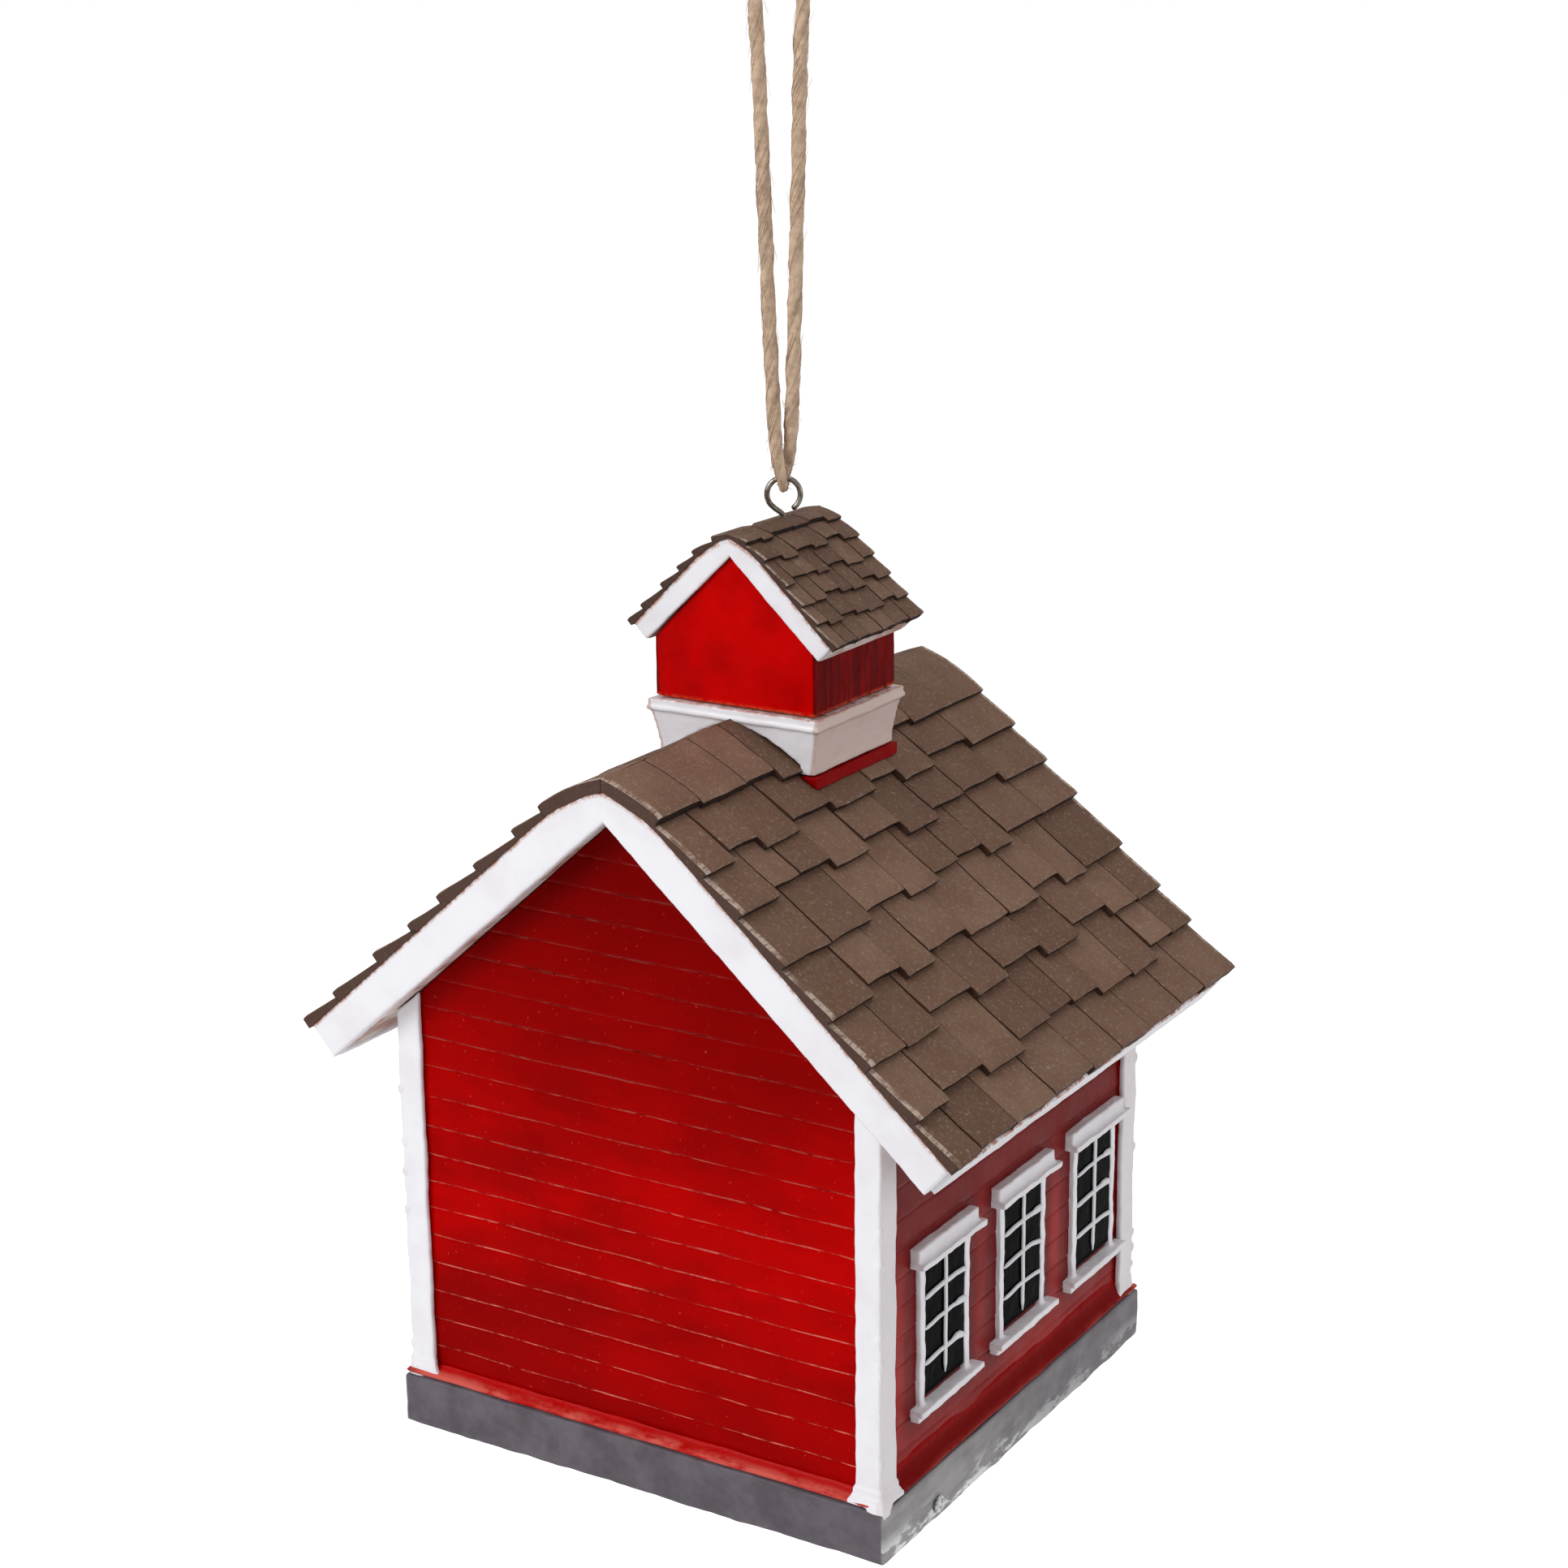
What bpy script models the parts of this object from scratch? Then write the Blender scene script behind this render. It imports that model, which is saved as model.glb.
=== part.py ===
"""Hanging schoolhouse birdhouse: a cast and painted house on a square plinth, with a shingled
roof, a small cupola, a screw eye in the cupola's ridge and a loop of jute twine.

The house is laid out on its own floor: x to the right, y from the blank gable to the entrance
gable, z up from the plinth's underside, all in millimetres. The finished pieces are placed so
that the world's origin is the point where the twine loop bears on its hook.
"""
import math

import bmesh
import bpy
from mathutils import Vector

for old in list(bpy.data.objects):
    bpy.data.objects.remove(old)

MM = 0.001
GAP = 0.3            # air between two pieces that touch
PAST = 1.0           # cutters run this far past what they cut

# Body
BODY_WIDTH = 140.0   # over the corner boards
BODY_DEPTH = 138.4   # over the corner boards
WALL = 5.5           # thickness of a wall
BOARD_THICK = 1.6    # corner boards stand this proud of the siding
BOARD_FACE = 7.2     # width of a corner board on a gable
BOARD_SIDE = 7.6     # width of a corner board on a side wall

# Plinth, ledge and clean-out floor
PLINTH_OUT = 1.5     # the plinth stands this far outside the corner boards
PLINTH_HEIGHT = 13.8
SILL_HEIGHT = 1.2    # red ledge between plinth and walls
SILL_OUT = 0.8
RAIL = 13.6          # width of the plinth's rails around the floor opening
FRONT_RAIL = 20.6    # the rails under the gables are wider
LEDGE = 3.5          # the floor closes against this ledge
FLOOR_THICK = 5.0
FLOOR_RECESS = 0.8   # the floor sits this far inside the plinth's underside
FLOOR_GAP = 0.5      # play around the floor
PIN_RADIUS = 1.3
PIN_HEAD_RADIUS = 2.2
PIN_HEAD = 0.9
PIN_IN_FLOOR = 8.0   # length of a pin inside the floor
PIN_EDGE = 4.2       # from the floor's front edge to its pins
PIN_HEIGHT = 4.1
DRAIN_RADIUS = 1.9
DRAIN_INSET = 26.0

# Main roof
PITCH = math.radians(41.5)
EAVE_HEIGHT = 113.7  # underside of the roof at the corner boards' outer faces
ROOF_THICK = 10.0    # depth of the barge boards, square to the slope
EAVE_OUT = 15.0      # the underside runs this far past the corner boards
VERGE_OUT = 7.1      # the barge boards' faces stand this far past the corner boards
SOFT_X = 20.0        # the ridge is softened this far down each slope
SOFT_DROP = 6.4      # and sinks this far below the sharp peak
BARGE_THICK = 3.0
FASCIA_THICK = 2.4
TOP_COURSE = 16.0    # run of the ridge course
COURSE_SHARES = (0.91, 0.89, 1.02, 1.12, 0.94, 1.09, 1.03)   # exposures of the courses below it
SHINGLE_HEIGHTS = (3.3, 1.0, 3.25)   # at the ridge, under the next course, at the lower edge
SHINGLE_OUT = 0.5    # overhang past barge boards and eaves

# Windows on each side wall
WINDOW_COUNT = 3
WINDOW_FRONT = 9.2   # free wall between the front corner board and the first window
WINDOW_REAR = 0.7    # and between the last window and the rear corner board
WINDOW_SPACE = 9.8   # free wall between two windows
WINDOW_FOOT = 28.6   # underside of the window sill
WINDOW_HEIGHT = 45.0 # from there to the top of the head cap
CASING_BAND = 3.6
CASING_THICK = 2.4
CAP_HEIGHT = 4.4
CAP_OUT = 3.2        # caps and sills run this far past the casing
CAP_THICK = 4.4
MUNTIN = 1.3
MUNTIN_ROWS = 4
PANE_THICK = 0.7

# Entrance gable
ENTRANCE_RADIUS = 16.0
ENTRANCE_SPACE = 12.4   # free wall between the door's head cap and the entrance ring
RING_BAND = 4.6
RING_THICK = 2.6
DOOR_WIDTH = 31.0
DOOR_HEIGHT = 50.0
DOOR_THICK = 1.6
KNOB_RADIUS = 1.5

# Cupola
CUPOLA_Y = 0.8       # the cupola's middle, behind the house's
CUPOLA_HALF_X = 23.0
CUPOLA_HALF_Y = 19.7
CUPOLA_WALL = 16.6   # from the skirt's top to the underside of the cupola's roof at its side walls
SKIRT_RISE = 6.7     # the skirt's top stands this far above the barge boards' apex
SKIRT_OUT = 1.65     # the skirt's band stands this far outside the cupola's walls
SKIRT_BAND = 2.8
SKIRT_COVE = 2.1     # the moulding draws in this far towards its foot
SKIRT_BEAD = 0.6     # step between the band and the cove
CURB_HEIGHT = 3.8    # red strip between the skirt's foot and the shingles
CURB_OUT = 0.9       # the strip stands this far outside the skirt's foot
CUPOLA_PITCH = math.radians(44.4)
CUPOLA_ROOF_THICK = 5.4
CUPOLA_EAVE_OUT = 1.8
CUPOLA_SOFT_X = 10.8
CUPOLA_SOFT_DROP = 3.7
CUPOLA_BARGE = 1.2
CUPOLA_COURSES = 6
CUPOLA_TOP_COURSE = 5.2
CUPOLA_SHINGLE_HEIGHTS = (1.0, 0.8, 1.9)

# Screw eye and twine loop
EYE_Y = 5.1          # the eye stands behind the middle, over the point of balance
EYE_CLEAR = 1.55     # the ring's underside above the apex of the cupola's barge boards
EYE_RING = 4.15      # radius of the ring at the middle of its wire
EYE_WIRE = 0.7       # radius of the wire
EYE_SHANK = 16.0     # from the ring's centre to the shank's point
EYE_NECK = 1.06      # the neck's height under the ring's centre, in ring radii
EYE_TURN = math.radians(28.0)
TWINE = 1.8          # radius of the twine
KNOT_RADIUS = 4.0
KNOT_HALF = 4.2

# The twine's route from the knot's underside, down, through the eye, up, over and back to the
# knot: across the loop, towards the blank gable, up from the inner top of the ring where the
# twine bears, and its share of the full thickness, because it is squeezed where it wraps the wire.
TWINE_ROUTE = (
    (-5.95, 0.0, 122.85, 1.0),
    (-5.35, 0.0, 108.55, 1.0),
    (-4.75, 0.1, 91.55, 1.0),
    (-4.2, 0.0, 74.55, 1.0),
    (-3.65, -0.1, 57.55, 1.0),
    (-3.15, 0.1, 41.55, 1.0),
    (-2.65, 0.2, 27.55, 1.0),
    (-2.2, 0.5, 17.55, 1.0),
    (-1.75, 1.2, 9.55, 0.97),
    (-1.05, 2.15, 4.75, 0.88),
    (-0.4, 2.45, 1.85, 0.76),
    (-0.1, 1.75, -0.75, 0.72),
    (0.0, 0.0, -1.65, 0.72),
    (0.1, -1.75, -0.75, 0.72),
    (0.4, -2.45, 1.85, 0.76),
    (1.05, -2.15, 4.75, 0.88),
    (1.75, -1.2, 9.55, 0.97),
    (2.2, -0.5, 17.55, 1.0),
    (2.65, -0.2, 27.55, 1.0),
    (3.15, -0.1, 41.55, 1.0),
    (3.65, 0.1, 57.55, 1.0),
    (4.2, 0.0, 74.55, 1.0),
    (4.75, -0.1, 91.55, 1.0),
    (5.35, 0.0, 108.55, 1.0),
    (6.3, 0.0, 123.55, 1.0),
    (7.2, 0.0, 135.15, 1.0),
    (5.1, 0.0, 140.75, 1.0),
    (0.0, 0.0, 142.75, 1.0),
    (-5.1, 0.0, 140.75, 1.0),
    (-7.1, 0.0, 135.75, 1.0),
    (-6.75, 0.0, 131.85, 1.0),
)
ROUTE_STEPS = 2      # points of the tube for each stretch of the route


# ---------------------------------------------------------------- places that follow from these
WALL_X = BODY_WIDTH / 2 - BOARD_THICK - GAP          # outer face of a side wall
WALL_Y = BODY_DEPTH / 2 - BOARD_THICK - GAP          # outer face of a gable wall
SILL_BASE = PLINTH_HEIGHT + GAP
WALL_BASE = SILL_BASE + SILL_HEIGHT + GAP
ENTRANCE_Z = WALL_BASE + DOOR_HEIGHT + CAP_HEIGHT + ENTRANCE_SPACE + RING_BAND + ENTRANCE_RADIUS
BARGE_Y = BODY_DEPTH / 2 + VERGE_OUT
DECK_Y = BARGE_Y - BARGE_THICK - GAP
PLINTH_X = BODY_WIDTH / 2 + PLINTH_OUT
PLINTH_Y = BODY_DEPTH / 2 + PLINTH_OUT
OPENING_X = PLINTH_X - RAIL
OPENING_FRONT = -PLINTH_Y + FRONT_RAIL
OPENING_REAR = PLINTH_Y - FRONT_RAIL
FLOOR_SWEEP = math.hypot(PIN_EDGE, max(PIN_HEIGHT - FLOOR_RECESS, FLOOR_RECESS + FLOOR_THICK - PIN_HEIGHT))
PIN_Y = OPENING_FRONT + FLOOR_GAP + FLOOR_SWEEP      # the floor's front edge clears the rail as it drops


# ---------------------------------------------------------------- the shape of a roof slope
class Roof:
    """Section of one slope: a straight underside and a top that softens towards the ridge."""

    def __init__(self, pitch, wall_x, wall_height, eave_out, thick, soft_x, soft_drop):
        self.pitch = pitch
        self.fall = math.tan(pitch)
        self.soffit_peak = wall_height + self.fall * wall_x
        self.thick = thick
        self.slope = (wall_x + eave_out) / math.cos(pitch)
        self.soft_x = soft_x
        self.ridge_fall = self.fall - 2 * soft_drop / soft_x
        self.ridge = self.soffit_peak + thick / math.cos(pitch) - soft_drop
        self.eave_x = wall_x + eave_out + thick * math.sin(pitch)

    def soffit(self, x):
        return self.soffit_peak - self.fall * abs(x)

    def under(self, x):
        """Height just below the underside, with the gap square to the slope."""
        return self.soffit(x) - GAP / math.cos(self.pitch)

    def top(self, x, lift=0.0):
        """A point above the top edge of the barge boards, lifted square to the surface."""
        bend = (self.fall - self.ridge_fall) / self.soft_x
        if x < self.soft_x:
            fall = self.ridge_fall + bend * x
            z = self.ridge - (self.ridge_fall + fall) / 2 * x
        else:
            fall = self.fall
            z = self.ridge - (self.ridge_fall + fall) / 2 * self.soft_x - fall * (x - self.soft_x)
        length = math.hypot(1.0, fall)
        return x + lift * fall / length, z + lift / length

    def over(self, x, lift):
        """Height over x of the surface that lies lift above the barge boards' top edge."""
        return self.top(x - lift * math.sin(self.pitch), lift)[1]

    def section(self, trim=0.0, start=GAP / 2):
        """Outline of a board or deck: underside, square-cut end, softened top."""
        reach = self.slope - trim
        foot = (reach * math.cos(self.pitch), self.soffit_peak - reach * math.sin(self.pitch))
        end = (foot[0] + self.thick * math.sin(self.pitch), foot[1] + self.thick * math.cos(self.pitch))
        steps = [self.soft_x * n / 5 for n in range(5, 0, -1)]
        crown = [self.top(x) for x in steps]
        return [(start, self.soffit(start)), foot, end, *crown, (start, self.top(start)[1])]

    def edge(self, thick):
        """Outline of a board that closes the lower end of the deck."""
        outline = []
        for reach, lift in ((0, 0), (0, self.thick), (-thick, self.thick), (-thick, 0)):
            along = self.slope + reach
            outline.append((along * math.cos(self.pitch) + lift * math.sin(self.pitch),
                            self.soffit_peak - along * math.sin(self.pitch) + lift * math.cos(self.pitch)))
        return outline


def shingle_top(roof, butts, heights, lift=0.0, shift=0.0, start=GAP / 2):
    """Stepped upper line of the courses, from the ridge to the eave."""
    ridge, low, butt = heights
    crown = roof.top(start, lift + ridge)
    line = [(start, crown[1])]
    begin = start
    for n, x in enumerate(butts):
        end = x + shift
        first = ridge if n == 0 else low
        shares = (0.25, 0.5, 0.75, 1.0) if n == 0 else (0.0, 1.0)
        for share in shares:
            at_x, at_z = roof.top(begin + (end - begin) * share, lift + first + (butt - first) * share)
            line.append((at_x, at_z))
        begin = end
    return line


def shingle_section(roof, butts, heights):
    """Closed outline of the shingle layer that lies on a slope."""
    upper = shingle_top(roof, butts, heights)
    steps = [butts[-1], *[roof.soft_x * n / 4 for n in range(4, 0, -1)]]
    lower = [roof.top(x, GAP) for x in steps]
    lower.append((GAP / 2, roof.top(GAP / 2, GAP)[1]))
    return upper + lower


def mirrored(outline, side):
    return [(side * a, b) for a, b in outline]


MAIN = Roof(PITCH, BODY_WIDTH / 2, EAVE_HEIGHT, EAVE_OUT, ROOF_THICK, SOFT_X, SOFT_DROP)
SKIRT_TOP = MAIN.ridge + SKIRT_RISE
SKIRT_HALF_X = CUPOLA_HALF_X + SKIRT_OUT
SKIRT_HALF_Y = CUPOLA_HALF_Y + SKIRT_OUT
CURB_HALF_X = SKIRT_HALF_X - SKIRT_COVE + CURB_OUT
CURB_HALF_Y = SKIRT_HALF_Y - SKIRT_COVE + CURB_OUT
SKIRT_FOOT = MAIN.over(CURB_HALF_X, sum(SHINGLE_HEIGHTS[1:]) / 2) + CURB_HEIGHT
SMALL = Roof(CUPOLA_PITCH, CUPOLA_HALF_X, SKIRT_TOP + CUPOLA_WALL, CUPOLA_EAVE_OUT, CUPOLA_ROOF_THICK,
             CUPOLA_SOFT_X, CUPOLA_SOFT_DROP)
EYE = Vector((0.0, EYE_Y, SMALL.ridge + EYE_CLEAR + EYE_WIRE + EYE_RING))
PIN = Vector((0.0, PIN_Y, PIN_HEIGHT))
BEARING = EYE + Vector((0.0, 0.0, EYE_RING - EYE_WIRE))
HOOK = BEARING + Vector((0.0, 0.0, max(point[2] for point in TWINE_ROUTE) - TWINE))
SIDES = (("left", -1), ("right", 1))
ENDS = (("front", -1), ("rear", 1))

course_run = (MAIN.eave_x + SHINGLE_OUT - TOP_COURSE) / sum(COURSE_SHARES)
MAIN_BUTTS = [TOP_COURSE + course_run * sum(COURSE_SHARES[:n]) for n in range(len(COURSE_SHARES) + 1)]
small_run = (SMALL.eave_x + SHINGLE_OUT - CUPOLA_TOP_COURSE) / (CUPOLA_COURSES - 1)
SMALL_BUTTS = [CUPOLA_TOP_COURSE + small_run * n for n in range(CUPOLA_COURSES)]


# ---------------------------------------------------------------- making and placing pieces
def empty(name, place, parent=None):
    """An axis that pieces hang on; place is measured from its parent."""
    axis = bpy.data.objects.new(name, None)
    axis.empty_display_size = 0.01
    axis.location = place * MM
    axis.parent = parent
    bpy.context.collection.objects.link(axis)
    return axis


HOUSE_AXIS = empty("house_axis", EYE - HOOK)
FLOOR_AXIS = empty("floor_axis", PIN - EYE, HOUSE_AXIS)
AXIS_PLACES = {"house_axis": EYE, "floor_axis": PIN}


def paint(name, colour, roughness, metallic=0.0):
    material = bpy.data.materials.new(name)
    material.use_nodes = True
    shader = material.node_tree.nodes["Principled BSDF"]
    shader.inputs["Base Color"].default_value = (*colour, 1.0)
    shader.inputs["Roughness"].default_value = roughness
    shader.inputs["Metallic"].default_value = metallic
    return material


RED = paint("red_paint", (0.42, 0.004, 0.004), 0.35)
WHITE = paint("white_paint", (0.80, 0.79, 0.80), 0.45)
BROWN = paint("shingle_brown", (0.135, 0.092, 0.062), 0.70)
GREY = paint("plinth_grey", (0.105, 0.095, 0.100), 0.50)
BLACK = paint("pane_black", (0.006, 0.006, 0.007), 0.12)
STEEL = paint("eye_steel", (0.46, 0.44, 0.41), 0.32, 1.0)
BRASS = paint("knob_gold", (0.55, 0.38, 0.12), 0.35, 1.0)
JUTE = paint("jute", (0.52, 0.40, 0.28), 0.95)


def hang(obj, axis):
    """Hang an object drawn in house millimetres on its axis, or on the world if there is none."""
    base = AXIS_PLACES[axis.name] if axis else HOOK
    obj.parent = axis
    obj.location = -base * MM
    bpy.context.collection.objects.link(obj)
    return obj


def piece(name, mesh_data, material, axis=HOUSE_AXIS, smooth=False):
    """Turn a bmesh drawn in millimetres into a named object."""
    bmesh.ops.scale(mesh_data, vec=(MM, MM, MM), verts=mesh_data.verts)
    mesh = bpy.data.meshes.new(name)
    mesh_data.to_mesh(mesh)
    mesh_data.free()
    if material:
        mesh.materials.append(material)
    if smooth:
        mesh.shade_smooth()
        mesh.set_sharp_from_angle(angle=math.radians(35))
    return hang(bpy.data.objects.new(name, mesh), axis)


def outward(mesh_data):
    bmesh.ops.recalc_face_normals(mesh_data, faces=mesh_data.faces)
    return mesh_data


def slab(outline, low, high, to_point):
    """A flat outline swept from low to high; to_point turns (a, b, depth) into x, y, z."""
    data = bmesh.new()
    ends = []
    for depth in (low, high):
        corners = [data.verts.new(to_point(a, b, depth)) for a, b in outline]
        ends.append(corners)
        data.faces.new(corners)
    for i in range(len(outline)):
        j = (i + 1) % len(outline)
        data.faces.new((ends[0][i], ends[0][j], ends[1][j], ends[1][i]))
    return outward(data)


def slab_y(outline, low, high):
    """An outline in x and z, swept along y."""
    return slab(outline, low, high, lambda a, b, depth: (a, depth, b))


def solid(adds, cuts=()):
    """The union of upright boxes less other boxes; a box is (x0, x1, y0, y1, z0, z1)."""
    lines = [sorted({box[k] for box in (*adds, *cuts) for k in (2 * axis, 2 * axis + 1)})
             for axis in range(3)]

    def inside(centre, boxes):
        return any(all(box[2 * k] < centre[k] < box[2 * k + 1] for k in range(3)) for box in boxes)

    filled = set()
    for i in range(len(lines[0]) - 1):
        for j in range(len(lines[1]) - 1):
            for k in range(len(lines[2]) - 1):
                cell = (i, j, k)
                centre = [(lines[n][cell[n]] + lines[n][cell[n] + 1]) / 2 for n in range(3)]
                if inside(centre, adds) and not inside(centre, cuts):
                    filled.add(cell)
    data = bmesh.new()
    corners = {}

    def corner(index):
        if index not in corners:
            corners[index] = data.verts.new([lines[n][index[n]] for n in range(3)])
        return corners[index]

    for cell in sorted(filled):
        for axis in range(3):
            for side in (0, 1):
                beyond = list(cell)
                beyond[axis] += 2 * side - 1
                if tuple(beyond) in filled:
                    continue
                first, second = [n for n in range(3) if n != axis]
                loop = []
                for step_a, step_b in ((0, 0), (1, 0), (1, 1), (0, 1)):
                    index = list(cell)
                    index[axis] += side
                    index[first] += step_a
                    index[second] += step_b
                    loop.append(corner(tuple(index)))
                data.faces.new(loop)
    outward(data)
    bmesh.ops.dissolve_limit(data, angle_limit=math.radians(1), verts=data.verts, edges=data.edges)
    return data


def turned(profile, middle, axis, sides=20):
    """A turned solid or ring: profile points are (radius, distance along the axis)."""
    data = bmesh.new()
    axis = Vector(axis)
    across = axis.orthogonal().normalized()
    other = axis.cross(across)
    rings = []
    for radius, along in profile:
        centre = Vector(middle) + axis * along
        if radius == 0:
            rings.append([data.verts.new(centre)])
            continue
        turns = [2 * math.pi * n / sides for n in range(sides)]
        rings.append([data.verts.new(centre + (across * math.cos(t) + other * math.sin(t)) * radius)
                      for t in turns])
    closed = profile[0][0] != 0
    pairs = list(zip(rings, rings[1:] + rings[:1])) if closed else list(zip(rings, rings[1:]))
    for ring, following in pairs:
        for n in range(sides):
            m = (n + 1) % sides
            corners = []
            for candidate in (ring[n % len(ring)], ring[m % len(ring)],
                              following[m % len(following)], following[n % len(following)]):
                if candidate not in corners:
                    corners.append(candidate)
            data.faces.new(corners)
    return outward(data)


def cutter(name, mesh_data, axis=HOUSE_AXIS):
    tool = piece(name, mesh_data, None, axis)
    tool.hide_render = True
    tool.display_type = "WIRE"
    return tool


def cut(obj, tool):
    modifier = obj.modifiers.new("cut_" + tool.name, "BOOLEAN")
    modifier.operation = "DIFFERENCE"
    modifier.object = tool


def tube(name, points, radius, material, axis, shares=None, resolution=3):
    """A round bar through points in house millimetres, with closed ends."""
    curve = bpy.data.curves.new(name, "CURVE")
    curve.dimensions = "3D"
    curve.bevel_depth = radius * MM
    curve.bevel_resolution = resolution
    curve.use_fill_caps = True
    spline = curve.splines.new("POLY")
    spline.points.add(len(points) - 1)
    for n, point in enumerate(points):
        spline.points[n].co = (*(Vector(point) * MM), 1.0)
        spline.points[n].radius = shares[n] if shares else 1.0
    spline.use_smooth = True
    curve.materials.append(material)
    return hang(bpy.data.objects.new(name, curve), axis)


def smooth_route(points, steps):
    """Points on a smooth curve that passes through every given point."""
    padded = [points[0], *points, points[-1]]
    route = []
    for before, start, end, after in zip(padded, padded[1:], padded[2:], padded[3:]):
        for n in range(steps):
            t = n / steps
            route.append(tuple(
                0.5 * (2 * b + (c - a) * t + (2 * a - 5 * b + 4 * c - d) * t * t
                       + (3 * b - a - 3 * c + d) * t ** 3)
                for a, b, c, d in zip(before, start, end, after)))
    route.append(points[-1])
    return route


# ---------------------------------------------------------------- plinth, ledge and floor
def make_base():
    opening = (-OPENING_X, OPENING_X)
    stop_top = FLOOR_RECESS + FLOOR_THICK + GAP
    above = PLINTH_HEIGHT + PAST
    plinth = piece("plinth", solid(
        [(-PLINTH_X, PLINTH_X, -PLINTH_Y, PLINTH_Y, 0, PLINTH_HEIGHT)],
        [(*opening, OPENING_FRONT, OPENING_REAR, -PAST, stop_top),
         (LEDGE - OPENING_X, OPENING_X - LEDGE, OPENING_FRONT, OPENING_REAR - LEDGE, -PAST, above),
         (*opening, OPENING_FRONT, PIN_Y + 2 * PIN_EDGE, -PAST, above)]), GREY)
    sill_x = BODY_WIDTH / 2 + SILL_OUT
    sill_y = BODY_DEPTH / 2 + SILL_OUT
    top = SILL_BASE + SILL_HEIGHT
    piece("sill_band", solid(
        [(-sill_x, sill_x, -sill_y, sill_y, SILL_BASE, top)],
        [(WALL - WALL_X, WALL_X - WALL, WALL - WALL_Y, WALL_Y - WALL, 0, top + PAST)]), RED)

    floor_x = OPENING_X - FLOOR_GAP
    floor = piece("floor_door", solid(
        [(-floor_x, floor_x, PIN_Y - PIN_EDGE, OPENING_REAR - FLOOR_GAP,
          FLOOR_RECESS, FLOOR_RECESS + FLOOR_THICK)]), GREY, FLOOR_AXIS)
    hole = PIN_RADIUS + GAP
    for name, side in SIDES:
        inner = floor_x - PIN_IN_FLOOR
        head = PLINTH_X + GAP
        profile = [(0, inner), (PIN_RADIUS, inner), (PIN_RADIUS, head), (PIN_HEAD_RADIUS, head),
                   (PIN_HEAD_RADIUS, head + PIN_HEAD * 0.6), (PIN_HEAD_RADIUS * 0.6, head + PIN_HEAD),
                   (0, head + PIN_HEAD)]
        piece("floor_pin_" + name, turned(profile, PIN, (side, 0, 0), 16), STEEL, smooth=True)
        bore = [(0, inner - GAP), (hole, inner - GAP), (hole, PLINTH_X + PAST), (0, PLINTH_X + PAST)]
        cut(plinth, cutter("rail_bore_" + name, turned(bore, PIN, (side, 0, 0), 16)))
        cut(floor, cutter("floor_bore_" + name, turned(bore, PIN, (side, 0, 0), 16), FLOOR_AXIS))
    for side_x in (-1, 1):
        for side_y in (-1, 1):
            drain_x = side_x * (OPENING_X - DRAIN_INSET)
            drain_y = side_y * (OPENING_REAR - DRAIN_INSET)
            profile = [(0, -PAST), (DRAIN_RADIUS, -PAST), (DRAIN_RADIUS, stop_top + PAST), (0, stop_top + PAST)]
            tool = turned(profile, (drain_x, drain_y, 0), (0, 0, 1), 12)
            cut(floor, cutter(f"drain_{side_x}_{side_y}", tool, FLOOR_AXIS))


# ---------------------------------------------------------------- walls and corner boards
def gable_outline(half, base, roof):
    eave = roof.under(half)
    return [(-half, base), (half, base), (half, eave), (0, roof.under(0)), (-half, eave)]


def make_walls():
    for name, end in ENDS:
        outline = gable_outline(WALL_X, WALL_BASE, MAIN)
        wall = piece("wall_gable_" + name, slab_y(outline, *sorted((end * WALL_Y, end * (WALL_Y - WALL)))), RED)
        if name == "rear":
            inner, outer = WALL_Y - WALL - PAST, WALL_Y + PAST
            profile = [(0, inner), (ENTRANCE_RADIUS, inner), (ENTRANCE_RADIUS, outer), (0, outer)]
            tool = turned(profile, (0, 0, ENTRANCE_Z), (0, 1, 0), 32)
            cut(wall, cutter("entrance_cut", tool))
    reach = WALL_Y - WALL - GAP
    for name, side in SIDES:
        inner, outer = WALL_X - WALL, WALL_X
        outline = [(inner, WALL_BASE), (outer, WALL_BASE), (outer, MAIN.under(outer)), (inner, MAIN.under(inner))]
        piece("wall_side_" + name, slab_y(mirrored(outline, side), -reach, reach), RED)


def make_corner_boards():
    far_x, far_y = BODY_WIDTH / 2, BODY_DEPTH / 2
    outline = [(far_x - BOARD_FACE, far_y), (far_x, far_y), (far_x, far_y - BOARD_SIDE),
               (far_x - BOARD_THICK, far_y - BOARD_SIDE), (far_x - BOARD_THICK, far_y - BOARD_THICK),
               (far_x - BOARD_FACE, far_y - BOARD_THICK)]
    for end_name, end in ENDS:
        for side_name, side in SIDES:
            data = bmesh.new()
            low = [data.verts.new((side * x, end * y, WALL_BASE)) for x, y in outline]
            high = [data.verts.new((side * x, end * y, MAIN.under(x))) for x, y in outline]
            data.faces.new(low)
            data.faces.new(high)
            for n in range(len(outline)):
                m = (n + 1) % len(outline)
                data.faces.new((low[n], low[m], high[m], high[n]))
            piece(f"corner_board_{end_name}_{side_name}", outward(data), WHITE)


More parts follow.
